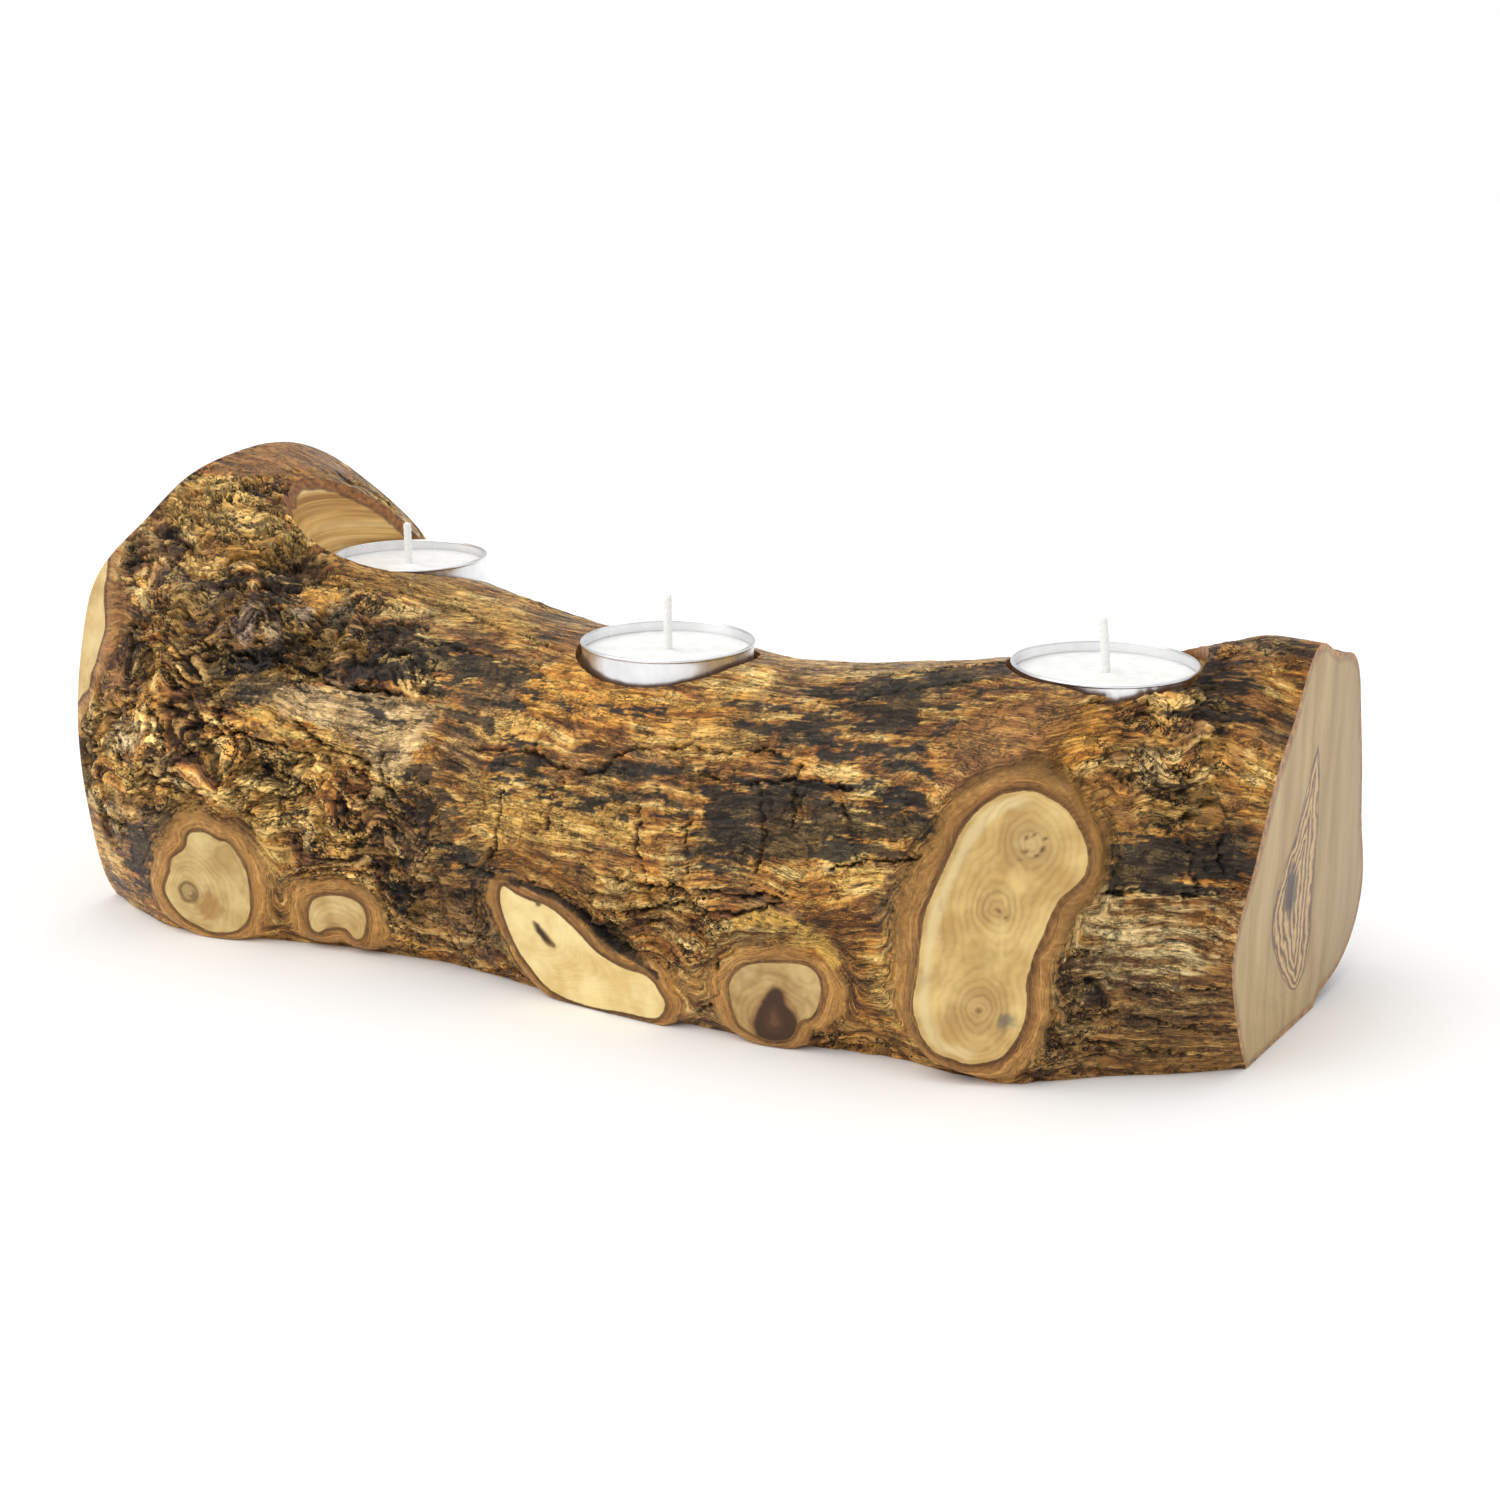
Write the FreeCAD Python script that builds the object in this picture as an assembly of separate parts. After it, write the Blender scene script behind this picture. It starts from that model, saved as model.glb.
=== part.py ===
import FreeCAD, Part
import math
import os

# Rustic log tealight holder: a short length of knotty branch wood, sawn square
# at both ends and flat underneath, with three drilled recesses along its top
# that each hold a loose tealight.  Millimetres, +Z up, +X along the log.
# The origin is the middle of the footprint's bounding box, on the flat base.

os.makedirs("parts", exist_ok=True)
V = FreeCAD.Vector

# ---------------------------------------------------------------- dimensions
SHIFT_X = 3.0            # moves the log's own measuring frame to the origin
SHIFT_Y = -5.15

RECESS_D = 40.4          # drilled recess for a standard 38 mm tealight
RECESS_FLOOR_GAP = 0.0   # the cup stands on the recess floor

CUP_RIM_D = 38.4         # over the rolled rim
CUP_BODY_D = 37.6        # over the side wall
CUP_H = 15.5
CUP_WALL = 0.25
CUP_FOOT_R = 1.2         # radius between wall and bottom
RIM_BEAD_H = 0.9

WAX_CLEAR = 0.1          # radial gap between wax and cup wall
WAX_BELOW_RIM = 2.5
WICK_D = 2.0
TAB_D = 12.6             # wick sustainer disc
TAB_T = 0.3
NECK_OD = 2.7
NECK_H = 3.2

# Rim-top centre of each tealight, and how far its wick stands above the wax.
TEALIGHTS = {
    "left": (-88.5, 5.5, 81.1, 10.2),
    "centre": (1.0, -9.8, 74.8, 12.4),
    "right": (95.3, 11.0, 78.7, 11.6),
}

# The left recess has a flared mouth that leans back towards the left end.
FLARE_FROM_Z = 76.0
FLARE_SLOPE = (-0.27, -0.42)      # sideways travel of its centre per mm of height
FLARE_TOP_Z = 116.0

# Cross-sections of the log: x, then (y, z) from the front bottom edge, up over
# the top and down to the back bottom edge.
SECTIONS = {
    -138: [(-51.6, 0), (-56, 12.6), (-58, 26), (-58.8, 41), (-57.3, 55.6), (-54, 69.5), (-50, 78.5),
           (-43.5, 84.6), (-34, 90.4), (-21, 98.4), (-3, 103.4), (11, 104.2), (27, 100.2), (41, 92),
           (56, 80.5), (68, 67.5), (74, 50), (74, 32), (68, 14), (58, 0)],
    -125: [(-56, 0), (-60, 13), (-62, 28), (-62, 43), (-59.5, 57), (-55, 71), (-48, 80.5), (-38, 89),
           (-25, 96.3), (-8, 101), (8, 101.3), (22, 96.8), (35, 88), (46, 78.6), (56, 68.5), (65, 57),
           (70.5, 43), (70, 27), (64, 12), (57, 0)],
    -111: [(-59.6, 0), (-63, 14), (-64.5, 30), (-63.5, 46), (-60, 60), (-54, 72), (-45, 82), (-33, 90),
           (-19, 95.5), (-4, 97.8), (9, 96), (20, 91.5), (30, 83.5), (39, 74), (48, 65), (57, 55),
           (63.5, 42), (65, 25), (59, 8), (55, 0)],
    -88: [(-53.8, 0), (-58, 13), (-60, 28), (-59.5, 44), (-56, 58), (-49, 70), (-38, 79), (-26, 83.5),
          (-14, 84.8), (0, 83.8), (13, 80), (24, 73), (34, 67), (45, 59), (54, 48), (59, 34), (58, 17),
          (52, 0)],
    -60: [(-45, 0), (-50, 12), (-52.5, 26), (-52.5, 40), (-49.5, 53), (-43, 64), (-34, 71.5), (-23, 76),
          (-10, 77.8), (2, 76.7), (15, 72.4), (29, 65), (41, 54.5), (49, 40), (52, 25), (49, 10), (44, 0)],
    -30: [(-40, 0), (-45.5, 11), (-48.5, 24), (-48.5, 37), (-45.5, 49), (-40, 60), (-32, 68), (-21, 72.6),
          (-8, 73.8), (5, 71.9), (17, 67.8), (29, 61.5), (39, 52.5), (46, 40), (48, 26), (45.5, 12), (40, 0)],
    0: [(-41, 0), (-45, 10), (-47.5, 22), (-47.5, 34), (-45, 46), (-40, 57), (-35, 65), (-29, 70.3),
        (-20, 72.5), (-8, 73.3), (5, 72.2), (17, 68.8), (29, 62.5), (38, 53), (44, 40), (46, 26), (43.5, 12),
        (38, 0)],
    22: [(-38.5, 0), (-42.5, 10), (-45, 22), (-45, 34), (-42.5, 46), (-38, 57), (-31.5, 65), (-22, 70.5),
         (-11, 72.6), (1, 71.8), (13, 69), (25, 64), (36, 55.5), (43.5, 44), (46.5, 29), (44, 13), (39, 0)],
    45: [(-36, 0), (-40, 10), (-42.5, 22), (-42, 35), (-39, 47), (-33.5, 58), (-25, 66.5), (-14, 72),
         (-3, 73.9), (8, 72.3), (20, 68.6), (32, 62), (42, 52), (48, 39), (50, 25), (47, 11), (42, 0)],
    70: [(-28.7, 0), (-33, 10), (-36, 24), (-36, 38), (-33, 51), (-27, 63), (-18, 71.5), (-7, 76.5),
         (5, 77.2), (18, 74.8), (31, 69), (43, 60), (51, 47), (55, 33), (54, 18), (47, 0)],
    84: [(-28.7, 0), (-33, 10), (-36, 24), (-36, 38), (-33.5, 51), (-27, 63.5), (-19, 72), (-8, 77.8),
         (4, 79.2), (16, 77.6), (29, 73), (42, 65), (52.5, 53), (58, 39), (58.5, 24), (55, 10), (49, 0)],
    96: [(-26.6, 0), (-30.5, 9), (-33, 22), (-33, 36), (-31, 50), (-26.5, 62), (-19, 72), (-9, 78.4),
         (2, 80.5), (14, 80), (27, 77), (41, 70), (53, 59), (60, 45), (62, 30), (60, 14), (50, 0)],
    110: [(-12.7, 0), (-16, 10), (-18, 22), (-17, 35), (-14.5, 48), (-11, 60), (-6, 70), (1, 77.2),
          (9, 81), (20, 82), (32, 80), (45, 75.5), (56, 67), (63, 53), (66.5, 38), (67, 22), (60, 8), (50, 0)],
    122: [(-3, 0), (-8, 12), (-10, 26), (-6.5, 38), (-1, 50), (5, 62), (11, 72), (18, 79.5), (27, 84.3),
          (38, 82.3), (50, 77.5), (58, 69.5), (63, 58), (68, 40), (70, 22), (62, 7), (48, 0)],
    132: [(6.6, 0), (-1, 13.5), (-4.8, 27.4), (0, 38.3), (5.2, 47.1), (9.9, 56.1), (15.7, 64.9),
          (22.8, 73.5), (30.9, 83), (43, 79.8), (55.3, 76.2), (61.1, 64.9), (65.1, 50.6), (69, 33.5),
          (71.9, 18.7), (66.3, 8.5), (54.8, 2.9), (45, 0)],
}
# Middle of the cross-section along the log, for even spacing round it.
CORE_X = [-138, -111, -60, 0, 45, 84, 110, 132]
CORE_Y = [5, 2, 0, 0, 4, 12, 24, 33]
CORE_ZX = [-138, -60, 0, 132]
CORE_Z = [42, 34, 33, 36]
RING_POINTS = 36
BELOW_BASE = 9.0         # the round log carries on below the base before the flat is cut

# Sawn-off side branches: centre, outward direction, and outline (across, up).
KNOTS = [
    ((-95.0, -59.7, 13.4), (0.271, -0.961, -0.060),
     [(-3.6, 12.2), (3.9, 11.8), (9.0, 7.9), (10.8, 0.7), (9.4, -7.8), (3.4, -11.6), (-3.9, -10.7),
      (-9.6, -7.0), (-11.7, -1.9), (-8.9, 5.4)]),
    ((-63.7, -49.8, 8.7), (0.229, -0.966, -0.120),
     [(-7.6, 0.3), (-5.6, 3.9), (0.8, 5.8), (5.6, 4.7), (7.4, 1.1), (5.5, -4.0), (0.0, -5.0), (-5.8, -4.4)]),
    ((1.5, -44.4, 12.5), (0.054, -0.991, -0.120),
     [(-18.1, 12.8), (-19.3, 8.0), (-17.0, 0.0), (-11.0, -8.2), (-4.3, -11.4), (5.0, -12.0), (16.2, -11.6),
      (21.4, -8.0), (18.6, -2.0), (9.2, 0.0), (1.5, 4.8), (-7.8, 10.5)]),
    ((48.6, -38.9, 11.9), (0.224, -0.967, -0.120),
     [(-10.3, 0.3), (-7.2, 5.7), (0.5, 8.2), (7.6, 7.8), (9.8, 2.8), (7.8, -4.5), (2.7, -9.4), (-4.0, -10.2),
      (-9.2, -6.0)]),
    ((92.9, -29.1, 32.6), (0.415, -0.910, 0.026),
     [(1.4, 28.1), (9.7, 27.3), (15.4, 21.5), (16.8, 12.8), (12.0, 6.5), (8.0, -3.5), (6.6, -12.0),
      (5.5, -20.5), (-0.5, -27.2), (-7.6, -27.1), (-13.2, -23.5), (-15.6, -16.3), (-14.4, -4.0),
      (-11.4, 9.0), (-7.0, 20.3)]),
]
STUB_DEPTH = 9.0         # how far each branch's own wood is carried into the log
STUB_CLEAR = 9.0         # how much is pared away above the sawn face


# ------------------------------------------------------------------- helpers
def lerp(x, xs, ys):
    for a, b, ya, yb in zip(xs, xs[1:], ys, ys[1:]):
        if x <= b:
            return ya + (yb - ya) * (x - a) / (b - a)
    return ys[-1]


def ring(x, pts):
    """Closed spline through evenly turned points of one cross-section."""
    cy, cz = lerp(x, CORE_X, CORE_Y), lerp(x, CORE_ZX, CORE_Z)
    y0, y1 = pts[0][0], pts[-1][0]
    w = y1 - y0
    under = [(y1 - 3, -3.0), (y1 - 0.25 * w, -0.8 * BELOW_BASE), ((y0 + y1) / 2, -BELOW_BASE),
             (y0 + 0.25 * w, -0.8 * BELOW_BASE), (y0 + 3, -3.0)]
    raw = Part.BSplineCurve()
    raw.interpolate([V(x, y, z) for y, z in list(pts) + under], PeriodicFlag=True)
    a, b = raw.FirstParameter, raw.LastParameter
    fine = [raw.value(a + (b - a) * i / 3000.0) for i in range(3000)]
    polar = sorted((math.atan2(p.z - cz, p.y - cy) % (2 * math.pi), math.hypot(p.z - cz, p.y - cy))
                   for p in fine)
    polar = [(polar[-1][0] - 2 * math.pi, polar[-1][1])] + polar + [(polar[0][0] + 2 * math.pi, polar[0][1])]
    even, j = [], 0
    for i in range(RING_POINTS):
        t = 2 * math.pi * i / RING_POINTS
        while polar[j + 1][0] < t:
            j += 1
        (t0, r0), (t1, r1) = polar[j], polar[j + 1]
        r = r0 + (r1 - r0) * ((t - t0) / (t1 - t0) if t1 > t0 else 0.0)
        even.append(V(x, cy + r * math.cos(t), cz + r * math.sin(t)))
    curve = Part.BSplineCurve()
    curve.interpolate(even, PeriodicFlag=True)
    return Part.Wire([curve.toShape()])


def prism(origin, normal, outline, start, depth):
    """A closed smooth outline on a plane, extruded along the plane's normal."""
    n = V(*normal).normalize()
    across = V(-n.y, n.x, 0).normalize()
    if across.x < 0:
        across = -across
    up = n.cross(across)
    if up.z < 0:
        up = -up
    pts = [V(*origin) + across * u + up * v + n * start for u, v in outline]
    curve = Part.BSplineCurve()
    curve.interpolate(pts, PeriodicFlag=True)
    face = Part.Face(Part.Wire([curve.toShape()]))
    return face.extrude(n * depth)


def cylinder(x, y, z, d, h):
    return Part.makeCylinder(d / 2.0, h, V(x, y, z), V(0, 0, 1))


def turned(x, y, z, profile):
    """Solid of revolution about the vertical axis through (x, y)."""
    pts = [V(x + r, y, z + h) for r, h in profile]
    wire = Part.makePolygon(pts + [pts[0]])
    return Part.Face(wire).revolve(V(x, y, 0), V(0, 0, 1), 360)


def save(shape, node):
    shape = shape.copy()
    shape.translate(V(SHIFT_X, SHIFT_Y, 0))
    solids = shape.Solids
    assert len(solids) == 1, (node, len(solids))
    solid = solids[0]
    assert solid.isValid(), node
    solid.exportStep("parts/%s.step" % node)
    bb = solid.optimalBoundingBox(False)
    print("%-18s volume %10.1f  x %.2f..%.2f  y %.2f..%.2f  z %.2f..%.2f" % (
        node, solid.Volume, bb.XMin, bb.XMax, bb.YMin, bb.YMax, bb.ZMin, bb.ZMax))


# ------------------------------------------------------------------ the log
log = Part.makeLoft([ring(x, SECTIONS[x]) for x in sorted(SECTIONS)], True, False)
for origin, normal, outline in KNOTS:
    log = log.fuse(prism(origin, normal, outline, -STUB_DEPTH, STUB_DEPTH))
    log = log.cut(prism(origin, normal, outline, 0.0, STUB_CLEAR))
log = log.cut(Part.makeBox(400, 300, 60, V(-200, -150, -60)))

for name, (x, y, rim, wick_up) in TEALIGHTS.items():
    floor = rim - CUP_H - RECESS_FLOOR_GAP
    log = log.cut(cylinder(x, y, floor, RECESS_D, 60.0))

lx, ly = TEALIGHTS["left"][0], TEALIGHTS["left"][1]
low = Part.Wire([Part.Circle(V(lx, ly, FLARE_FROM_Z), V(0, 0, 1), RECESS_D / 2.0 - 0.2).toShape()])
rise = FLARE_TOP_Z - FLARE_FROM_Z
high = Part.Wire([Part.Circle(V(lx + FLARE_SLOPE[0] * rise, ly + FLARE_SLOPE[1] * rise, FLARE_TOP_Z),
                              V(0, 0, 1), RECESS_D / 2.0 - 0.2).toShape()])
log = log.cut(Part.makeLoft([low, high], True, True))
big = max(log.Solids, key=lambda s: s.Volume)
save(big, "log_body")

# ------------------------------------------------------------- the tealights
for name, (x, y, rim, wick_up) in TEALIGHTS.items():
    base = rim - CUP_H
    ro = CUP_BODY_D / 2.0
    ri = ro - CUP_WALL
    rb = CUP_RIM_D / 2.0
    f = CUP_FOOT_R
    c = math.cos(math.pi / 4)

    # Drawn aluminium cup: thin wall, rounded foot, rolled bead round the rim.
    outer = [(0, 0), (ro - f, 0), (ro - f + f * math.sin(math.pi / 8), f * (1 - math.cos(math.pi / 8))),
             (ro - f + f * c, f * (1 - c)), (ro - f + f * math.cos(math.pi / 8), f * (1 - math.sin(math.pi / 8))),
             (ro, f), (ro, CUP_H - RIM_BEAD_H), (rb - 0.12, CUP_H - RIM_BEAD_H), (rb, CUP_H - RIM_BEAD_H + 0.2),
             (rb, CUP_H - 0.25), (rb - 0.2, CUP_H), (ri + 0.12, CUP_H), (ri, CUP_H - 0.12)]
    g = f - CUP_WALL
    inner = [(ri, f), (ri - g + g * math.cos(math.pi / 8), CUP_WALL + g * (1 - math.sin(math.pi / 8))),
             (ri - g + g * c, CUP_WALL + g * (1 - c)),
             (ri - g + g * math.sin(math.pi / 8), CUP_WALL + g * (1 - math.cos(math.pi / 8))),
             (ri - g, CUP_WALL), (0, CUP_WALL)]
    save(turned(x, y, base, outer + inner), name + "_cup")

    # Wax pellet, with a pocket below for the wick's steel tab and its neck.
    z0 = CUP_WALL
    rw = ri - WAX_CLEAR
    top = CUP_H - WAX_BELOW_RIM
    wax = turned(x, y, base, [(0, z0), (rw - 1.3, z0), (rw - 0.35, z0 + 0.4), (rw, z0 + 1.35), (rw, top - 0.3),
                              (rw - 0.3, top), (0, top)])
    wax = wax.cut(cylinder(x, y, base + z0 - 1, TAB_D + 0.1, 1 + TAB_T + 0.05))
    wax = wax.cut(cylinder(x, y, base + z0 - 1, NECK_OD + 0.1, 1 + TAB_T + NECK_H + 0.05))
    wax = wax.cut(cylinder(x, y, base + z0 - 1, WICK_D + 0.06, 40))
    save(wax, name + "_wax")

    # Steel tab: a flat disc with a crimped neck that grips the wick.
    tab = cylinder(x, y, base + z0, TAB_D, TAB_T).fuse(cylinder(x, y, base + z0, NECK_OD, TAB_T + NECK_H))
    tab = tab.cut(cylinder(x, y, base + z0 + TAB_T, WICK_D + 0.04, 20)).removeSplitter()
    save(tab, name + "_wick_tab")

    # Wick: stands in the tab's neck and rises clear of the wax.
    h = top + wick_up - (z0 + TAB_T)
    r = WICK_D / 2.0
    save(turned(x, y, base + z0 + TAB_T, [(0, 0), (r, 0), (r, h - 0.4), (r - 0.4, h), (0, h)]), name + "_wick")
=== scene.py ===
import bpy
import math
import time
import numpy as np
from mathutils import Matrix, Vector


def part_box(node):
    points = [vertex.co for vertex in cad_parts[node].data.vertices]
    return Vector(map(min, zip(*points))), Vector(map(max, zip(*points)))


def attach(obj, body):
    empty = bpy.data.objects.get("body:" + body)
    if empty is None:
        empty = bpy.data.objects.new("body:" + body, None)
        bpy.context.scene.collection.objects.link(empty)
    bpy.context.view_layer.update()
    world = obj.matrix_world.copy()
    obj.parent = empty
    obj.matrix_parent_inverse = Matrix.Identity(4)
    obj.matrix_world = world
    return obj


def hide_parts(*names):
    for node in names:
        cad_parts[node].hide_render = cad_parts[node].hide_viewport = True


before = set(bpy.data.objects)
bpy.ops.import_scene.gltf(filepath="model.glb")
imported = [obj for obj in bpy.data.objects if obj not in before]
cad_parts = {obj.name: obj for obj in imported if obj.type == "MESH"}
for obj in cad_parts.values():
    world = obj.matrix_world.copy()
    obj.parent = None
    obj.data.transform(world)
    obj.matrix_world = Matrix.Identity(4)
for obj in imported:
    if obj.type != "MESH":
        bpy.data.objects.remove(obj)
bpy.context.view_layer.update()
T_START = time.time()

# The log is worked out in millimetres in its own measuring frame, then shifted
# to the CAD origin and scaled to metres.
SHIFT = np.array([3.0, -5.15, 0.0])
MM = 0.001

TEALIGHTS = {
    "left": (-88.5, 5.5, 81.1, 10.2),
    "centre": (1.0, -9.8, 74.8, 12.4),
    "right": (95.3, 11.0, 78.7, 11.6),
}
RECESS_R = 20.2
CUP_H = 15.5
FLARE_Z0, FLARE_Z1 = 76.0, 116.0
FLARE_SLOPE = (-0.27, -0.42)


def srgb(r, g, b):
    c = np.array([r, g, b], float) / 255.0
    return np.where(c <= 0.04045, c / 12.92, ((c + 0.055) / 1.055) ** 2.4)


def smooth(a, b, x):
    t = np.clip((x - a) / (b - a), 0.0, 1.0)
    return t * t * (3 - 2 * t)


def mix(a, b, t):
    if np.ndim(a) and np.shape(a)[-1] == 3 or np.ndim(b) and np.shape(b)[-1] == 3:
        t = np.asarray(t)[..., None] if np.ndim(t) else t
    return a * (1 - t) + b * t


# --------------------------------------------------------------------- noise
_rng = np.random.RandomState(71)
_PERM = np.concatenate([_rng.permutation(256)] * 2).astype(np.int64)
_g = _rng.normal(size=(256, 3))
_GRAD = (_g / np.linalg.norm(_g, axis=1, keepdims=True)).astype(np.float32)
_RAND = _rng.uniform(size=(256, 3)).astype(np.float32)


def _hash(ix, iy, iz):
    return _PERM[(_PERM[(_PERM[ix & 255] + iy) & 255] + iz) & 255]


def perlin(x, y, z, seed=0):
    """Gradient noise, about -1 to 1."""
    x = np.asarray(x, np.float32) + seed * 17.13
    y = np.asarray(y, np.float32) + seed * 5.71
    z = np.asarray(z, np.float32) - seed * 9.37
    x, y, z = np.broadcast_arrays(x, y, z)
    xi, yi, zi = np.floor(x).astype(np.int64), np.floor(y).astype(np.int64), np.floor(z).astype(np.int64)
    fx, fy, fz = x - xi, y - yi, z - zi
    ux, uy, uz = (f * f * f * (f * (f * 6 - 15) + 10) for f in (fx, fy, fz))
    out = 0
    for dx in (0, 1):
        wx = ux if dx else 1 - ux
        for dy in (0, 1):
            wy = uy if dy else 1 - uy
            for dz in (0, 1):
                wz = uz if dz else 1 - uz
                g = _GRAD[_hash(xi + dx, yi + dy, zi + dz)]
                out = out + wx * wy * wz * (g[..., 0] * (fx - dx) + g[..., 1] * (fy - dy) + g[..., 2] * (fz - dz))
    return out * 1.5


def fbm(x, y, z, octaves=4, seed=0, gain=0.5, lac=2.03):
    a, s, tot = 1.0, 0.0, 0.0
    for k in range(octaves):
        s = s + a * perlin(x, y, z, seed + k * 3)
        tot += a
        a *= gain
        x, y, z = x * lac, y * lac, z * lac
    return s / tot


def ridged(x, y, z, octaves=4, seed=0, gain=0.5, lac=2.1):
    """1 on ridge lines, falling to 0."""
    a, s, tot = 1.0, 0.0, 0.0
    for k in range(octaves):
        s = s + a * (1 - np.abs(perlin(x, y, z, seed + k * 5)) * 1.6)
        tot += a
        a *= gain
        x, y, z = x * lac, y * lac, z * lac
    return s / tot


def worley2(x, y, seed=0):
    """Nearest and second nearest cell distances, and the nearest cell's random value."""
    x = np.asarray(x, np.float32)
    y = np.asarray(y, np.float32)
    xi, yi = np.floor(x).astype(np.int64), np.floor(y).astype(np.int64)
    f1 = np.full(x.shape, 9.0, np.float32)
    f2 = np.full(x.shape, 9.0, np.float32)
    cid = np.zeros(x.shape, np.float32)
    for dx in (-1, 0, 1):
        for dy in (-1, 0, 1):
            r = _RAND[_hash(xi + dx, yi + dy, np.full_like(xi, seed))]
            d = np.hypot(xi + dx + r[..., 0] - x, yi + dy + r[..., 1] - y)
            closer = d < f1
            f2 = np.where(closer, f1, np.minimum(f2, d))
            cid = np.where(closer, r[..., 2], cid)
            f1 = np.where(closer, d, f1)
    return f1, f2, cid


# -------------------------------------------------------- shape of the branch
# Cross-sections: x, then (y, z) from the front bottom edge, over the top, to the back bottom edge.
SECTIONS = {
    -138: [(-51.6, 0), (-56, 12.6), (-58, 26), (-58.8, 41), (-57.3, 55.6), (-54, 69.5), (-50, 78.5),
           (-43.5, 84.6), (-34, 90.4), (-21, 98.4), (-3, 103.4), (11, 104.2), (27, 100.2), (41, 92),
           (56, 80.5), (68, 67.5), (74, 50), (74, 32), (68, 14), (58, 0)],
    -125: [(-56, 0), (-60, 13), (-62, 28), (-62, 43), (-59.5, 57), (-55, 71), (-48, 80.5), (-38, 89),
           (-25, 96.3), (-8, 101), (8, 101.3), (22, 96.8), (35, 88), (46, 78.6), (56, 68.5), (65, 57),
           (70.5, 43), (70, 27), (64, 12), (57, 0)],
    -111: [(-59.6, 0), (-63, 14), (-64.5, 30), (-63.5, 46), (-60, 60), (-54, 72), (-45, 82), (-33, 90),
           (-19, 95.5), (-4, 97.8), (9, 96), (20, 91.5), (30, 83.5), (39, 74), (48, 65), (57, 55),
           (63.5, 42), (65, 25), (59, 8), (55, 0)],
    -88: [(-53.8, 0), (-58, 13), (-60, 28), (-59.5, 44), (-56, 58), (-49, 70), (-38, 79), (-26, 83.5),
          (-14, 84.8), (0, 83.8), (13, 80), (24, 73), (34, 67), (45, 59), (54, 48), (59, 34), (58, 17),
          (52, 0)],
    -60: [(-45, 0), (-50, 12), (-52.5, 26), (-52.5, 40), (-49.5, 53), (-43, 64), (-34, 71.5), (-23, 76),
          (-10, 77.8), (2, 76.7), (15, 72.4), (29, 65), (41, 54.5), (49, 40), (52, 25), (49, 10), (44, 0)],
    -30: [(-40, 0), (-45.5, 11), (-48.5, 24), (-48.5, 37), (-45.5, 49), (-40, 60), (-32, 68), (-21, 72.6),
          (-8, 73.8), (5, 71.9), (17, 67.8), (29, 61.5), (39, 52.5), (46, 40), (48, 26), (45.5, 12), (40, 0)],
    0: [(-41, 0), (-45, 10), (-47.5, 22), (-47.5, 34), (-45, 46), (-40, 57), (-35, 65), (-29, 70.3),
        (-20, 72.5), (-8, 73.3), (5, 72.2), (17, 68.8), (29, 62.5), (38, 53), (44, 40), (46, 26), (43.5, 12),
        (38, 0)],
    22: [(-38.5, 0), (-42.5, 10), (-45, 22), (-45, 34), (-42.5, 46), (-38, 57), (-31.5, 65), (-22, 70.5),
         (-11, 72.6), (1, 71.8), (13, 69), (25, 64), (36, 55.5), (43.5, 44), (46.5, 29), (44, 13), (39, 0)],
    45: [(-36, 0), (-40, 10), (-42.5, 22), (-42, 35), (-39, 47), (-33.5, 58), (-25, 66.5), (-14, 72),
         (-3, 73.9), (8, 72.3), (20, 68.6), (32, 62), (42, 52), (48, 39), (50, 25), (47, 11), (42, 0)],
    70: [(-28.7, 0), (-33, 10), (-36, 24), (-36, 38), (-33, 51), (-27, 63), (-18, 71.5), (-7, 76.5),
         (5, 77.2), (18, 74.8), (31, 69), (43, 60), (51, 47), (55, 33), (54, 18), (47, 0)],
    84: [(-28.7, 0), (-33, 10), (-36, 24), (-36, 38), (-33.5, 51), (-27, 63.5), (-19, 72), (-8, 77.8),
         (4, 79.2), (16, 77.6), (29, 73), (42, 65), (52.5, 53), (58, 39), (58.5, 24), (55, 10), (49, 0)],
    96: [(-26.6, 0), (-30.5, 9), (-33, 22), (-33, 36), (-31, 50), (-26.5, 62), (-19, 72), (-9, 78.4),
         (2, 80.5), (14, 80), (27, 77), (41, 70), (53, 59), (60, 45), (62, 30), (60, 14), (50, 0)],
    110: [(-12.7, 0), (-16, 10), (-18, 22), (-17, 35), (-14.5, 48), (-11, 60), (-6, 70), (1, 77.2),
          (9, 81), (20, 82), (32, 80), (45, 75.5), (56, 67), (63, 53), (66.5, 38), (67, 22), (60, 8), (50, 0)],
    122: [(-3, 0), (-8, 12), (-10, 26), (-6.5, 38), (-1, 50), (5, 62), (11, 72), (18, 79.5), (27, 84.3),
          (38, 82.3), (50, 77.5), (58, 69.5), (63, 58), (68, 40), (70, 22), (62, 7), (48, 0)],
    132: [(6.6, 0), (-1, 13.5), (-4.8, 27.4), (0, 38.3), (5.2, 47.1), (9.9, 56.1), (15.7, 64.9),
          (22.8, 73.5), (30.9, 83), (43, 79.8), (55.3, 76.2), (61.1, 64.9), (65.1, 50.6), (69, 33.5),
          (71.9, 18.7), (66.3, 8.5), (54.8, 2.9), (45, 0)],
}
# Middle of the cross-section along the log, for even spacing round it.
CORE_X = [-138, -111, -60, 0, 45, 84, 110, 132]
CORE_Y = [5, 2, 0, 0, 4, 12, 24, 33]
CORE_ZX = [-138, -60, 0, 132]
CORE_Z = [42, 34, 33, 36]
BELOW_BASE = 9.0         # the round log carries on below the base before the flat is cut


N_ANGLE = 1440
ANGLE = np.arange(N_ANGLE) * 2 * np.pi / N_ANGLE


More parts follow.
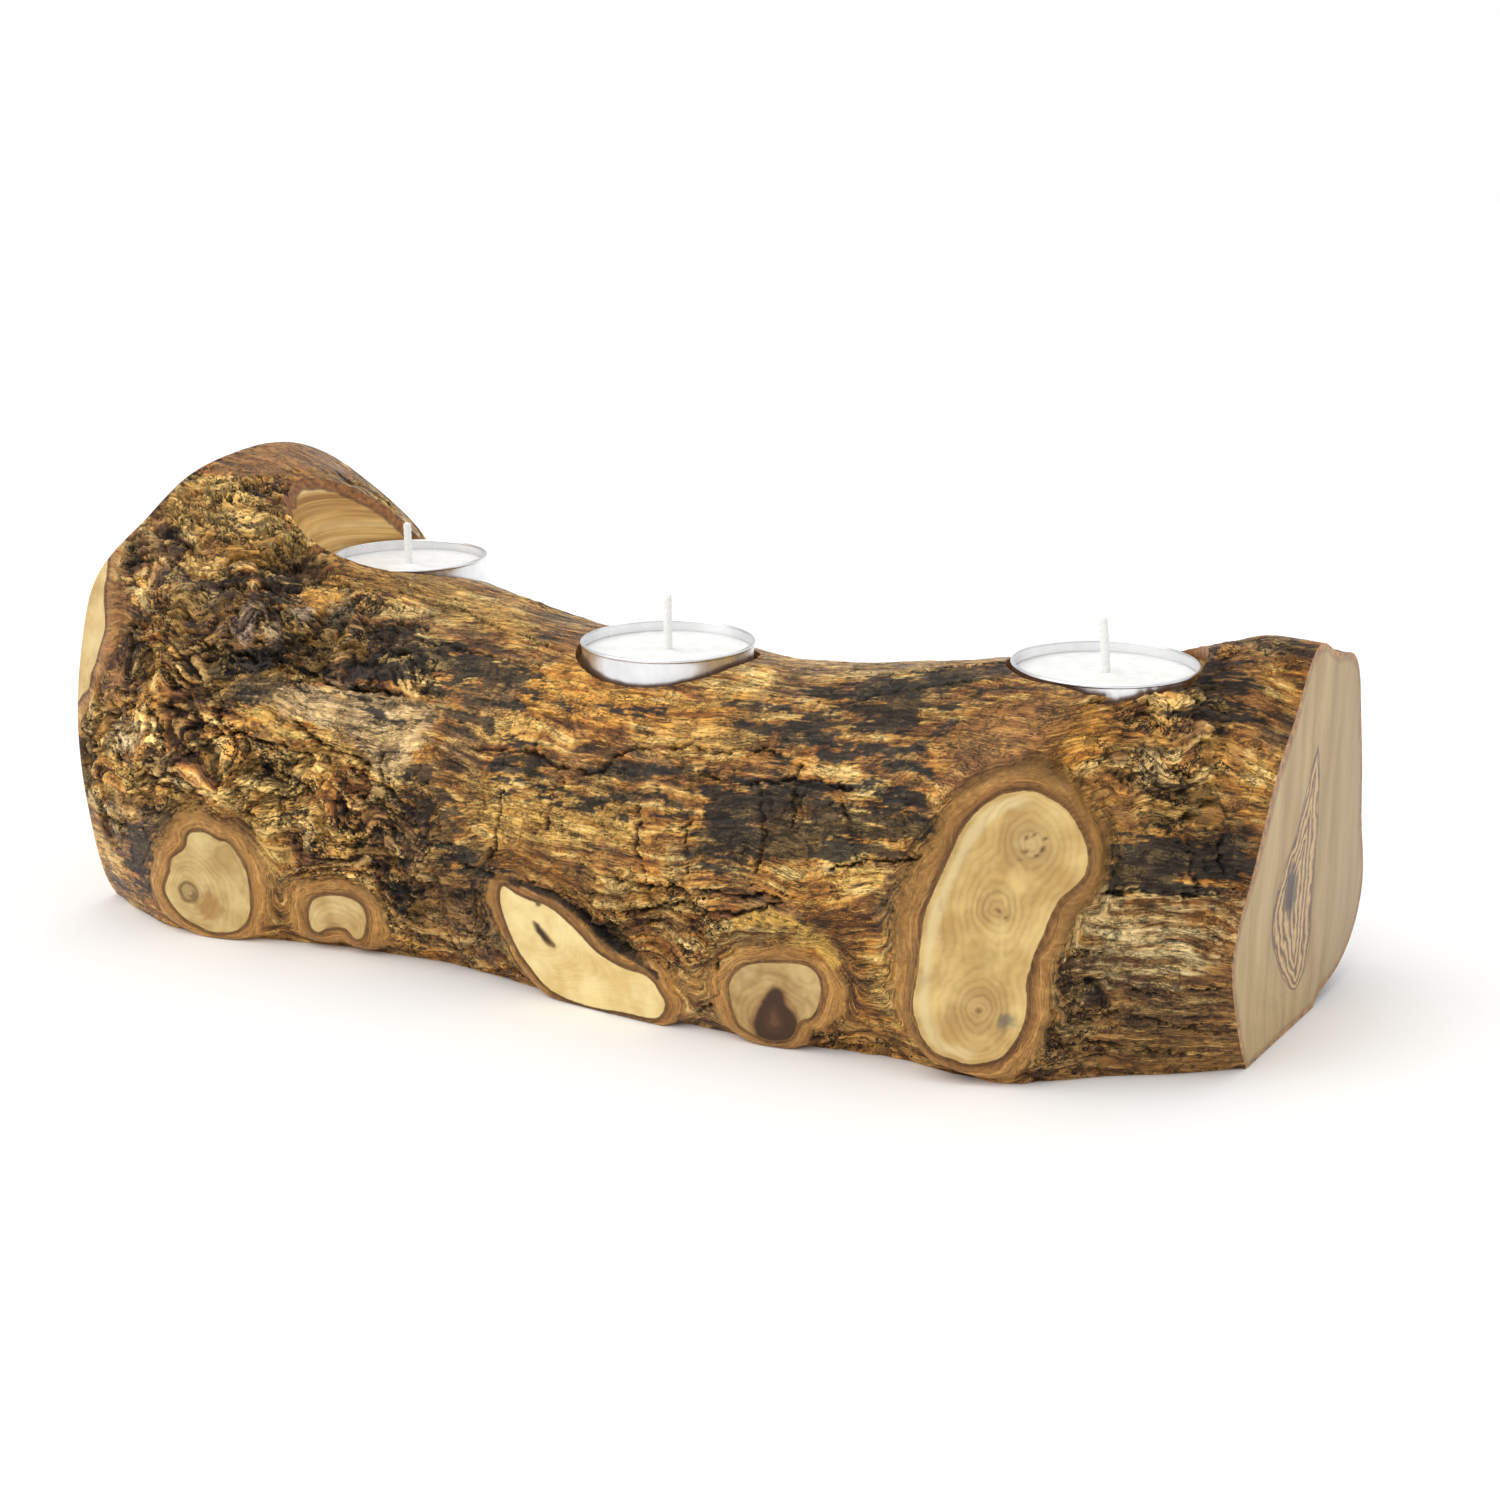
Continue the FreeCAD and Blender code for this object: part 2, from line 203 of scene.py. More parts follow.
def periodic_spline(t, r, at):
    """Periodic cubic spline through (t, r), t rising, period 2 pi."""
    n = len(t)
    h = np.diff(np.append(t, t[0] + 2 * np.pi))
    A = np.zeros((n, n))
    rhs = np.zeros(n)
    rn = np.append(r, r[0])
    for i in range(n):
        p = (i - 1) % n
        A[i, p] += h[p]
        A[i, i] += 2 * (h[p] + h[i])
        A[i, (i + 1) % n] += h[i]
        rhs[i] = 6 * ((rn[i + 1] - rn[i]) / h[i] - (rn[i] - r[p]) / h[p])
    m = np.linalg.solve(A, rhs)
    mn = np.append(m, m[0])
    tn = np.append(t, t[0] + 2 * np.pi)
    at = np.where(at < t[0], at + 2 * np.pi, at)
    k = np.clip(np.searchsorted(tn, at, side="right") - 1, 0, n - 1)
    d = at - tn[k]
    e = tn[k + 1] - at
    hk = h[k]
    return (mn[k] * e ** 3 + mn[k + 1] * d ** 3) / (6 * hk) + (rn[k] / hk - mn[k] * hk / 6) * e \
        + (rn[k + 1] / hk - mn[k + 1] * hk / 6) * d


def pchip(xk, yk, x):
    """Shape-keeping cubic through rows yk at xk."""
    h = np.diff(xk)[:, None]
    d = np.diff(yk, axis=0) / h
    m = np.zeros_like(yk)
    w1 = 2 * h[1:] + h[:-1]
    w2 = h[1:] + 2 * h[:-1]
    same = d[:-1] * d[1:] > 0
    with np.errstate(divide="ignore", invalid="ignore"):
        hm = (w1 + w2) / (w1 / d[:-1] + w2 / d[1:])
    m[1:-1] = np.where(same, hm, 0)
    m[0], m[-1] = d[0], d[-1]
    k = np.clip(np.searchsorted(xk, x, side="right") - 1, 0, len(xk) - 2)
    hk = (xk[k + 1] - xk[k])[:, None]
    t = (x - xk[k])[:, None] / hk
    return (2 * t ** 3 - 3 * t ** 2 + 1) * yk[k] + (t ** 3 - 2 * t ** 2 + t) * hk * m[k] \
        + (-2 * t ** 3 + 3 * t ** 2) * yk[k + 1] + (t ** 3 - t ** 2) * hk * m[k + 1]


def core(x):
    return np.interp(x, CORE_X, CORE_Y), np.interp(x, CORE_ZX, CORE_Z)


def station_radii(x, pts):
    cy, cz = core(x)
    pts = np.array(pts, float)
    y0, y1 = pts[0, 0], pts[-1, 0]
    w = y1 - y0
    under = [(y1 - 3, -3.0), (y1 - 0.25 * w, -0.8 * BELOW_BASE), ((y0 + y1) / 2, -BELOW_BASE),
             (y0 + 0.25 * w, -0.8 * BELOW_BASE), (y0 + 3, -3.0)]
    p = np.vstack([pts, under])
    t = np.mod(np.arctan2(p[:, 1] - cz, p[:, 0] - cy), 2 * np.pi)
    r = np.hypot(p[:, 0] - cy, p[:, 1] - cz)
    o = np.argsort(t)
    return periodic_spline(t[o], r[o], ANGLE)


STATIONS = np.array(sorted(SECTIONS), float)
RADII = np.array([station_radii(x, SECTIONS[int(x)]) for x in STATIONS])

X0, X1 = -138.0, 132.0
NX = 601
N_FRONT, N_BACK = ((400, 120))
SPLIT = 0.62
FRAC = np.concatenate([np.linspace(0, SPLIT, N_FRONT, endpoint=False), np.linspace(SPLIT, 1, N_BACK + 1)])
NS = len(FRAC)

gx = np.linspace(X0, X1, NX)
R = pchip(STATIONS, RADII, gx)
BASE = np.zeros((NX, NS, 3))
SARC = np.zeros((NX, NS))
_k0 = int(N_ANGLE * 0.75)
_order = (_k0 - np.arange(N_ANGLE + 1)) % N_ANGLE
for i, x in enumerate(gx):
    cy, cz = core(x)
    y = (cy + R[i] * np.cos(ANGLE))[_order]
    z = (cz + R[i] * np.sin(ANGLE))[_order]
    a = np.where((z[:-1] < 0) & (z[1:] >= 0))[0][0]
    b = np.where((z[:-1] >= 0) & (z[1:] < 0))[0][-1]
    ta = -z[a] / (z[a + 1] - z[a])
    tb = z[b] / (z[b] - z[b + 1])
    py = np.concatenate([[y[a] + ta * (y[a + 1] - y[a])], y[a + 1:b + 1], [y[b] + tb * (y[b + 1] - y[b])]])
    pz = np.concatenate([[0.0], z[a + 1:b + 1], [0.0]])
    cum = np.concatenate([[0], np.cumsum(np.hypot(np.diff(py), np.diff(pz)))])
    want = FRAC * cum[-1]
    BASE[i, :, 0] = x
    BASE[i, :, 1] = np.interp(want, cum, py)
    BASE[i, :, 2] = np.interp(want, cum, pz)
    SARC[i] = want
XG = BASE[..., 0]
LEN = SARC[:, -1:]

du = np.gradient(BASE, axis=0)
dv = np.gradient(BASE, axis=1)
NRM = np.cross(dv, du)
NRM /= np.linalg.norm(NRM, axis=-1, keepdims=True)
_cy, _cz = core(gx)
_out = BASE - np.stack([gx, _cy, _cz], -1)[:, None, :]
if (NRM * _out).sum() < 0:
    NRM = -NRM
print("branch surface", NX, NS, "%.1fs" % (time.time() - T_START))
# Patches on the bark: kind, strength, edge softness, outline in (x, distance round from the front bottom edge), mm.
PATCHES = [
    ("lump", 1.00, 1.0, [(-93.0, 77.3), (-94.0, 83.9), (-92.0, 85.0), (-88.5, 80.8), (-86.5, 74.0), (-89.0, 73.1)]),
    ("lump", 1.00, 1.0, [(-81.5, 80.7), (-82.5, 85.2), (-80.0, 86.1), (-76.5, 81.8), (-76.0, 78.8), (-78.5, 76.5)]),
    ("lump", 0.60, 1.0, [(-85.0, 76.9), (-85.5, 83.4), (-82.0, 80.7), (-81.0, 74.3), (-82.5, 73.0)]),
    ("crag", 1.00, 5.0, [(-138.0, 112.3), (-137.5, 139.9), (-109.5, 127.8), (-92.0, 110.9), (-65.5, 93.2), (-50.0, 80.6), (-39.0, 65.1), (-54.0, 65.2), (-85.5, 61.4), (-86.5, 55.1), (-61.5, 48.1), (-38.0, 43.2), (-37.0, 19.7), (-53.5, 7.6), (-71.0, 18.7), (-78.5, 32.4), (-107.5, 30.8), (-127.5, 19.2), (-135.0, 37.6), (-134.0, 66.3), (-134.5, 85.2)]),
    ("crag", 0.75, 5.0, [(98.0, 114.0), (117.0, 103.8), (125.5, 90.5), (125.5, 69.1), (127.0, 53.4), (119.0, 54.1), (108.5, 62.0), (103.5, 68.0), (107.5, 80.6)]),
    ("crag", 0.50, 4.0, [(-50.0, 22.0), (-17.0, 23.2), (-17.5, 0.5), (-46.0, -0.0), (-57.0, 4.4)]),
    ("crag", 0.55, 4.0, [(0.0, 31.6), (33.5, 32.5), (37.5, 19.9), (18.0, 15.5), (2.0, 22.8)]),
    ("crag", 0.60, 3.0, [(48.0, 2.8), (59.5, 9.3), (70.5, 3.1), (72.5, 0.4), (51.5, 0.3)]),
    ("crag", 0.60, 4.0, [(102.0, 28.8), (105.5, 32.8), (109.0, 23.7), (110.0, 10.2), (105.0, -0.1), (98.0, 1.3), (102.0, 14.2)]),
    ("crag", 0.80, 4.0, [(-78.5, 37.0), (-38.0, 45.8), (-33.5, 25.0), (-61.5, 17.2), (-70.5, 21.7)]),
    ("char", 1.00, 2.0, [(-65.0, 71.2), (-66.5, 82.7), (-60.0, 84.9), (-48.0, 81.6), (-24.0, 76.3), (-15.0, 70.7), (-25.5, 70.3), (-43.5, 69.4), (-55.0, 68.0)]),
    ("char", 0.90, 2.0, [(-91.0, 59.1), (-89.5, 70.2), (-81.0, 72.7), (-72.0, 70.3), (-63.0, 66.5), (-61.0, 64.7), (-72.0, 64.4), (-83.0, 59.3)]),
    ("char", 0.85, 2.0, [(-45.0, 46.0), (-37.0, 52.1), (-31.5, 44.3), (-24.0, 33.8), (-16.0, 30.9), (-15.0, 24.5), (-25.0, 24.8), (-35.0, 32.8), (-43.0, 38.1)]),
    ("char", 1.00, 2.0, [(45.5, 61.2), (46.5, 69.3), (56.0, 73.1), (65.5, 71.4), (71.5, 75.5), (69.0, 83.5), (80.5, 91.9), (78.5, 99.8), (57.5, 91.6), (46.5, 87.4), (40.5, 81.9), (55.0, 80.0), (55.0, 75.4), (44.5, 73.9), (41.0, 67.0)]),
    ("char", 0.90, 2.0, [(30.5, 52.9), (34.0, 56.5), (51.0, 57.8), (62.0, 56.9), (76.5, 59.0), (81.5, 53.7), (70.0, 47.7), (54.0, 43.8), (41.5, 40.0), (30.5, 40.9), (31.5, 47.0)]),
    ("char", 1.00, 1.5, [(113.0, 50.8), (116.5, 53.4), (123.5, 54.9), (129.5, 54.7), (130.5, 45.7), (123.0, 41.6), (114.5, 43.8)]),
    ("char", 0.80, 2.0, [(109.0, 43.9), (112.5, 49.9), (114.5, 43.8), (110.5, 39.6)]),
    ("char", 0.90, 1.5, [(112.5, 83.4), (115.0, 90.1), (121.5, 87.6), (124.5, 81.7), (122.0, 74.2), (117.0, 75.3)]),
    ("char", 0.80, 1.5, [(116.0, 59.4), (119.0, 63.5), (123.0, 62.8), (127.0, 57.5), (122.0, 54.8)]),
    ("char", 1.00, 1.5, [(-122.0, 18.3), (-117.5, 25.0), (-111.5, 27.7), (-109.0, 23.8), (-111.0, 14.9), (-108.5, 8.8), (-112.0, 9.2), (-121.0, 10.6)]),
    ("char", 1.00, 1.5, [(-57.0, 28.5), (-50.5, 30.1), (-46.5, 24.8), (-44.5, 16.8), (-46.5, 14.0), (-48.5, 20.7), (-53.5, 25.9)]),
    ("char", 0.80, 1.5, [(-96.5, 86.1), (-93.5, 98.1), (-87.0, 92.9), (-84.0, 84.3), (-89.5, 79.7)]),
    ("char", 0.70, 1.5, [(-113.5, 88.2), (-107.0, 93.7), (-99.5, 95.2), (-92.5, 88.2), (-97.5, 83.4), (-107.5, 83.9)]),
    ("char", 0.80, 1.5, [(-46.0, 64.4), (-43.0, 66.7), (-40.5, 63.9), (-43.5, 61.6)]),
    ("char", 0.90, 1.5, [(-21.5, 51.3), (-19.5, 56.1), (-12.5, 58.1), (-7.5, 54.2), (-7.5, 49.3), (-15.0, 48.4)]),
    ("black", 1.00, 1.5, [(-83.0, 70.2), (-82.0, 74.5), (-78.5, 78.0), (-77.5, 85.4), (-74.5, 85.5), (-70.0, 82.7), (-69.5, 74.1), (-68.5, 66.3), (-73.0, 66.2), (-77.0, 67.2)]),
    ("black", 0.80, 1.2, [(-96.5, 68.2), (-92.0, 69.0), (-88.0, 65.0), (-92.0, 60.9)]),
    ("black", 0.90, 1.2, [(-98.5, 94.6), (-99.0, 102.8), (-98.0, 110.1), (-92.0, 108.0), (-84.0, 94.9), (-88.5, 94.7), (-92.0, 94.4)]),
    ("black", 0.80, 1.0, [(-0.5, 25.3), (6.0, 24.2), (11.5, 21.8), (16.0, 18.0), (14.0, 16.7), (8.5, 17.8), (3.0, 21.5)]),
    ("black", 0.90, 1.0, [(-93.5, 25.0), (-90.5, 28.2), (-89.5, 23.3), (-92.0, 20.0)]),
    ("black", 0.60, 1.0, [(-138.0, 41.4), (-132.0, 45.8), (-128.5, 41.9), (-137.0, 27.7), (-138.0, 29.6)]),
    ("brown", 0.80, 3.0, [(-111.5, 81.2), (-87.0, 85.2), (-79.0, 72.2), (-85.5, 61.4), (-98.5, 62.0), (-105.5, 71.8)]),
    ("brown", 0.80, 3.0, [(-85.5, 47.2), (-79.0, 52.4), (-69.0, 47.8), (-71.0, 37.9), (-80.5, 37.2), (-84.0, 42.2)]),
    ("brown", 0.70, 3.0, [(-43.5, 26.2), (-16.0, 28.3), (-18.0, 7.3), (-39.5, 3.3), (-49.5, 12.3)]),
    ("brown", 0.70, 3.0, [(102.0, 28.8), (109.5, 39.6), (132.0, 30.7), (131.0, 0.5), (101.0, 0.9)]),
    ("brown", 0.70, 2.0, [(109.0, 55.9), (113.0, 59.2), (116.5, 53.4), (111.5, 45.8)]),
    ("brown", 0.60, 3.0, [(53.5, 10.1), (71.5, 8.5), (72.5, 0.4), (47.5, 0.0)]),
    ("grey", 1.00, 2.5, [(-90.0, 63.8), (-73.0, 66.2), (-53.5, 65.2), (-38.5, 65.0), (-40.5, 56.1), (-44.0, 47.3), (-51.5, 50.2), (-60.0, 54.7), (-80.0, 58.7)]),
    ("grey", 0.50, 2.0, [(-83.5, 87.1), (-78.5, 89.8), (-72.0, 86.2), (-71.0, 77.3), (-78.5, 78.0)]),
    ("lichen", 0.80, 1.5, [(-126.5, 46.8), (-118.5, 51.3), (-110.0, 50.2), (-112.0, 43.5), (-122.5, 41.2)]),
    ("lichen", 0.70, 1.5, [(-78.5, 88.4), (-79.0, 96.0), (-74.5, 94.0), (-71.0, 84.4), (-75.5, 84.7)]),
    ("grey", 0.50, 3.0, [(22.5, 105.0), (71.0, 109.4), (70.5, 93.2), (40.5, 89.7)]),
    ("gold", 1.00, 1.5, [(-86.0, 58.2), (-80.0, 58.7), (-69.5, 55.2), (-58.0, 51.8), (-54.0, 48.9), (-62.0, 50.9), (-74.0, 53.0), (-83.0, 54.6)]),
    ("gold", 0.80, 1.5, [(-138.0, 113.9), (-127.0, 123.0), (-105.0, 117.0), (-93.5, 110.1), (-97.0, 105.2), (-112.5, 102.9), (-131.5, 102.1)]),
    ("gold", 0.90, 1.2, [(-121.0, 37.7), (-113.5, 42.0), (-107.0, 39.5), (-109.5, 36.3), (-118.0, 33.8)]),
    ("gold", 0.90, 1.2, [(-103.5, 39.2), (-99.5, 38.8), (-95.0, 33.4), (-95.0, 31.7), (-100.0, 33.7), (-104.5, 35.7)]),
    ("gold", 0.80, 1.5, [(-88.5, 36.2), (-78.5, 41.6), (-68.5, 40.4), (-70.0, 33.4), (-81.0, 31.0)]),
    ("gold", 0.70, 1.5, [(-74.0, 50.0), (-62.0, 50.9), (-59.0, 45.0), (-68.5, 41.9), (-76.0, 45.9)]),
    ("gold", 0.80, 1.5, [(-81.5, 27.9), (-75.0, 30.7), (-72.0, 26.2), (-74.0, 21.7), (-79.5, 21.6)]),
    ("gold", 0.90, 1.2, [(-64.5, 25.9), (-57.5, 28.5), (-56.0, 24.4), (-52.0, 17.7), (-48.5, 11.1), (-46.5, 2.8), (-50.0, 3.8), (-52.5, 10.7), (-57.5, 21.5)]),
    ("gold", 0.70, 2.0, [(-27.5, 62.9), (-15.5, 65.8), (-10.0, 61.7), (-18.0, 58.5), (-29.0, 60.5)]),
    ("gold", 0.60, 2.0, [(12.5, 65.0), (25.0, 68.6), (38.5, 68.2), (35.5, 64.8), (18.5, 62.6)]),
    ("gold", 0.60, 3.0, [(-22.5, 45.0), (7.0, 51.5), (18.0, 44.4), (0.0, 37.9), (-21.5, 38.7)]),
    ("gold", 0.80, 1.5, [(49.0, 29.1), (55.0, 31.8), (61.0, 27.1), (60.0, 23.4), (53.0, 26.8), (48.0, 27.8)]),
    ("gold", 0.80, 1.5, [(60.5, 42.7), (66.0, 45.3), (70.5, 44.2), (69.0, 39.4), (63.0, 39.3)]),
    ("gold", 0.90, 1.5, [(105.0, 52.7), (108.0, 49.5), (109.5, 45.9), (108.5, 41.8), (106.5, 44.3)]),
    ("gold", 0.90, 1.5, [(104.5, 35.1), (106.5, 39.7), (107.5, 36.3), (106.0, 28.0), (104.5, 29.0)]),
    ("gold", 0.80, 1.5, [(69.0, 25.0), (72.0, 26.3), (73.5, 16.3), (73.5, 7.1), (70.5, 5.8), (69.5, 16.4)]),
    ("gold", 0.80, 1.5, [(110.0, 75.7), (115.0, 79.0), (118.0, 77.1), (116.0, 72.4), (111.5, 71.0)]),
    ("gold", 0.80, 1.5, [(120.5, 55.8), (124.5, 62.7), (127.0, 60.8), (126.5, 55.0), (123.0, 53.1)]),
    ("straw", 1.00, 2.0, [(111.5, 33.2), (117.5, 34.9), (126.0, 33.8), (129.0, 30.0), (123.5, 25.8), (113.5, 26.7)]),
    ("straw", 0.60, 2.0, [(104.0, 44.7), (131.0, 43.2), (132.0, 30.7), (120.0, 21.9), (107.5, 23.5)]),
    ("char", 1.35, 1.5, [(109.0, 49.3), (113.0, 51.8), (119.0, 53.2), (127.0, 53.4), (130.0, 47.4), (124.0, 42.6), (116.5, 42.9), (110.5, 43.8)]),
    ("gold", 0.50, 2.0, [(-82.0, 112.3), (-69.5, 114.1), (-51.0, 107.6), (-33.0, 96.3), (-31.5, 86.8), (-56.0, 93.2), (-70.5, 97.8)]),
    ("orange", 1.00, 2.0, [(-21.5, 72.4), (-10.5, 84.2), (8.5, 74.8), (26.0, 75.8), (30.0, 72.1), (16.5, 67.4), (-2.5, 66.2), (-16.5, 68.3)]),
    ("orange", 0.90, 2.0, [(-3.0, 72.5), (12.0, 72.3), (26.0, 75.8), (28.5, 79.2), (30.5, 70.9), (14.5, 66.2), (2.0, 67.4)]),
    ("orange", 1.00, 1.5, [(-82.5, 85.2), (-84.5, 91.9), (-84.0, 100.8), (-79.5, 100.6), (-77.0, 90.9), (-77.0, 83.6), (-79.5, 83.1)]),
    ("orange", 0.60, 2.0, [(-92.0, 110.9), (-82.0, 112.3), (-72.0, 103.9), (-74.5, 94.0), (-84.0, 100.8)]),
    ("orange", 0.70, 2.0, [(-138.0, 125.3), (-138.0, 148.0), (-138.0, 172.5), (-115.0, 133.8), (-124.5, 127.5), (-131.0, 120.0)]),
    ("smooth", 1.00, 2.0, [(79.5, 73.3), (82.5, 81.3), (95.0, 84.6), (101.5, 78.4), (100.0, 72.9), (97.5, 62.8), (90.5, 63.7), (83.0, 60.1), (79.5, 63.3)]),
    ("orange", 0.90, 1.5, [(98.5, 79.0), (102.5, 79.7), (105.0, 69.9), (104.0, 66.7), (101.0, 68.4)]),
    ("smooth", 0.70, 2.0, [(-131.0, 79.9), (-128.0, 83.1), (-120.5, 73.7), (-119.5, 58.2), (-127.0, 53.8), (-129.5, 67.7)]),
    ("smooth", 1.00, 2.0, [(-134.5, 123.4), (-137.5, 139.9), (-138.0, 169.3), (-117.5, 154.8), (-118.0, 137.6), (-121.0, 127.1)]),
    ("smooth", 1.00, 2.0, [(119.0, 91.4), (124.0, 92.4), (126.5, 82.3), (126.5, 69.1), (130.0, 45.7), (132.0, 25.4), (131.0, 29.4), (128.0, 49.5), (124.5, 68.4)]),
]
# Cracks: width, depth, line.
CRACKS = [
    (0.70, 1.40, [(-27.5, 55.4), (-14.5, 57.0), (-4.0, 55.2), (5.0, 55.1), (9.5, 60.0), (18.5, 62.6), (31.5, 63.7), (39.5, 65.9), (46.5, 64.7), (54.0, 67.2)]),
    (0.50, 1.00, [(29.0, 57.7), (38.0, 57.7), (50.5, 60.1), (61.0, 59.3)]),
    (0.90, 2.00, [(-15.5, 27.1), (-5.0, 28.0), (3.5, 24.1), (9.0, 20.4), (16.0, 16.7), (21.0, 12.9)]),
    (0.80, 1.60, [(53.0, 91.1), (65.5, 93.8), (75.0, 97.7), (78.5, 99.8)]),
    (0.60, 1.00, [(54.0, 81.1), (61.5, 84.0), (73.5, 87.9), (81.5, 90.0)]),
    (0.80, 2.00, [(-99.5, 96.8), (-92.0, 100.5), (-92.0, 110.9), (-86.0, 107.2)]),
    (0.90, 2.20, [(-114.5, 81.5), (-105.5, 85.2), (-96.0, 89.3), (-87.0, 89.8), (-83.5, 97.5), (-77.5, 95.6)]),
    (1.00, 2.40, [(-99.5, 72.3), (-91.0, 70.4), (-81.0, 69.7), (-74.0, 69.4), (-66.5, 65.8), (-56.5, 65.4), (-49.0, 66.0)]),
    (0.80, 2.00, [(-115.5, 57.8), (-105.0, 66.6), (-95.5, 69.8), (-87.5, 68.2)]),
    (0.80, 1.80, [(-72.5, 57.1), (-67.0, 53.2), (-57.0, 50.4), (-51.5, 48.9)]),
    (0.70, 1.60, [(-101.0, 42.3), (-96.0, 46.8), (-86.0, 51.9), (-74.0, 50.0), (-66.5, 48.7)]),
    (0.70, 1.50, [(-78.0, 44.6), (-73.5, 44.1), (-68.5, 41.9), (-63.5, 40.0)]),
    (0.80, 1.60, [(-119.0, 54.7), (-107.0, 53.2), (-104.0, 47.7)]),
    (0.70, 1.40, [(-35.0, 32.8), (-24.0, 29.9), (-16.0, 28.3), (-8.0, 29.3)]),
    (0.60, 1.20, [(10.0, 33.1), (21.5, 33.4), (37.5, 35.0), (50.5, 35.3)]),
    (0.60, 1.20, [(14.5, 25.7), (29.0, 31.1), (38.0, 30.1), (51.0, 34.1)]),
    (0.70, 1.40, [(60.5, 42.7), (68.0, 45.3), (76.5, 46.9), (81.0, 49.8)]),
    (0.60, 1.20, [(60.0, 56.9), (63.0, 51.1), (65.0, 45.2)]),
    (0.60, 1.20, [(42.5, 56.5), (46.0, 48.3), (45.0, 40.0)]),
    (0.50, 1.00, [(28.5, 50.5), (29.0, 42.1), (30.5, 36.1)]),
    (0.50, 1.00, [(17.0, 50.4), (18.0, 40.7), (20.5, 34.6)]),
    (0.50, 1.00, [(-3.0, 52.8), (-4.5, 47.9), (-4.5, 41.7)]),
    (0.50, 1.00, [(-17.5, 48.6), (-17.5, 39.8), (-19.0, 32.3)]),
    (0.50, 1.20, [(-49.5, 51.5), (-48.0, 43.4), (-47.0, 36.8)]),
    (0.50, 1.00, [(48.0, 65.9), (50.0, 57.8), (51.0, 49.6)]),
    (0.70, 1.40, [(106.0, 68.0), (109.5, 63.6), (113.5, 65.4), (119.0, 64.5)]),
    (0.70, 1.40, [(101.5, 82.3), (107.5, 80.6), (112.5, 83.4), (117.5, 79.5)]),
    (0.70, 1.40, [(110.5, 41.7), (118.0, 41.0), (127.5, 42.4), (130.5, 43.9)]),
    (0.60, 1.20, [(121.0, 52.2), (122.5, 46.1), (124.0, 42.6)]),
    (0.60, 1.20, [(125.5, 53.3), (126.5, 49.2), (128.0, 44.3)]),
    (0.60, 1.20, [(104.5, 22.7), (110.5, 22.7), (120.0, 20.7), (130.0, 22.8)]),
    (0.60, 1.20, [(108.5, 14.8), (116.5, 15.3), (124.5, 12.2), (131.5, 11.5)]),
    (0.60, 1.20, [(103.0, 8.9), (110.0, 8.8), (118.0, 6.8), (126.0, 5.5)]),
    (0.60, 1.20, [(30.5, 5.0), (34.5, 9.3), (36.5, 14.7), (36.5, 19.9)]),
    (0.60, 1.20, [(-52.5, 80.9), (-37.0, 80.0), (-20.0, 78.5)]),
    (0.60, 1.20, [(-68.5, 98.3), (-56.0, 96.9), (-40.0, 91.5), (-26.5, 87.5), (-19.0, 84.6)]),
    (0.50, 1.00, [(-78.0, 106.6), (-64.0, 101.7), (-54.0, 101.3)]),
]
# Charred streaks: width, line.
STREAKS = [
    (1.60, [(-7.5, 49.3), (3.0, 49.0), (17.0, 51.6), (26.0, 51.7)]),
    (1.40, [(3.5, 55.1), (15.5, 56.5), (26.5, 59.0)]),
    (1.60, [(27.0, 57.7), (42.0, 58.8), (57.0, 59.1), (67.0, 61.9)]),
    (1.40, [(34.5, 52.9), (47.0, 56.5), (64.0, 55.8), (76.5, 59.0)]),
    (1.40, [(13.0, 46.7), (26.5, 49.3), (40.0, 49.4)]),
    (1.50, [(40.5, 47.1), (53.0, 49.6), (67.5, 50.0), (77.5, 54.4)]),
    (1.50, [(49.5, 43.7), (62.0, 46.3), (74.5, 48.0)]),
    (1.40, [(-9.0, 69.1), (-3.5, 68.8), (10.5, 69.9), (15.5, 69.9)]),
    (1.30, [(28.0, 75.7), (36.5, 76.4), (42.0, 78.5)]),
    (1.30, [(32.5, 70.8), (41.5, 70.5), (49.5, 72.9)]),
    (1.60, [(46.0, 75.1), (53.0, 78.7), (63.5, 80.7), (74.0, 86.7)]),
    (1.80, [(47.0, 68.2), (56.5, 72.0), (70.0, 76.4), (79.5, 85.7)]),
    (2.00, [(53.0, 64.9), (60.5, 67.5), (71.0, 69.3), (77.0, 76.4)]),
    (1.50, [(58.5, 60.3), (66.0, 64.2), (76.5, 65.1)]),
    (1.60, [(-49.5, 76.7), (-36.5, 74.9), (-18.5, 72.1)]),
    (1.40, [(-40.0, 67.7), (-29.0, 66.7), (-18.5, 67.2)]),
    (1.40, [(-40.0, 61.3), (-30.0, 63.1), (-24.0, 61.4)]),
    (1.20, [(-57.5, 62.9), (-51.5, 59.6), (-46.5, 59.1)]),
]
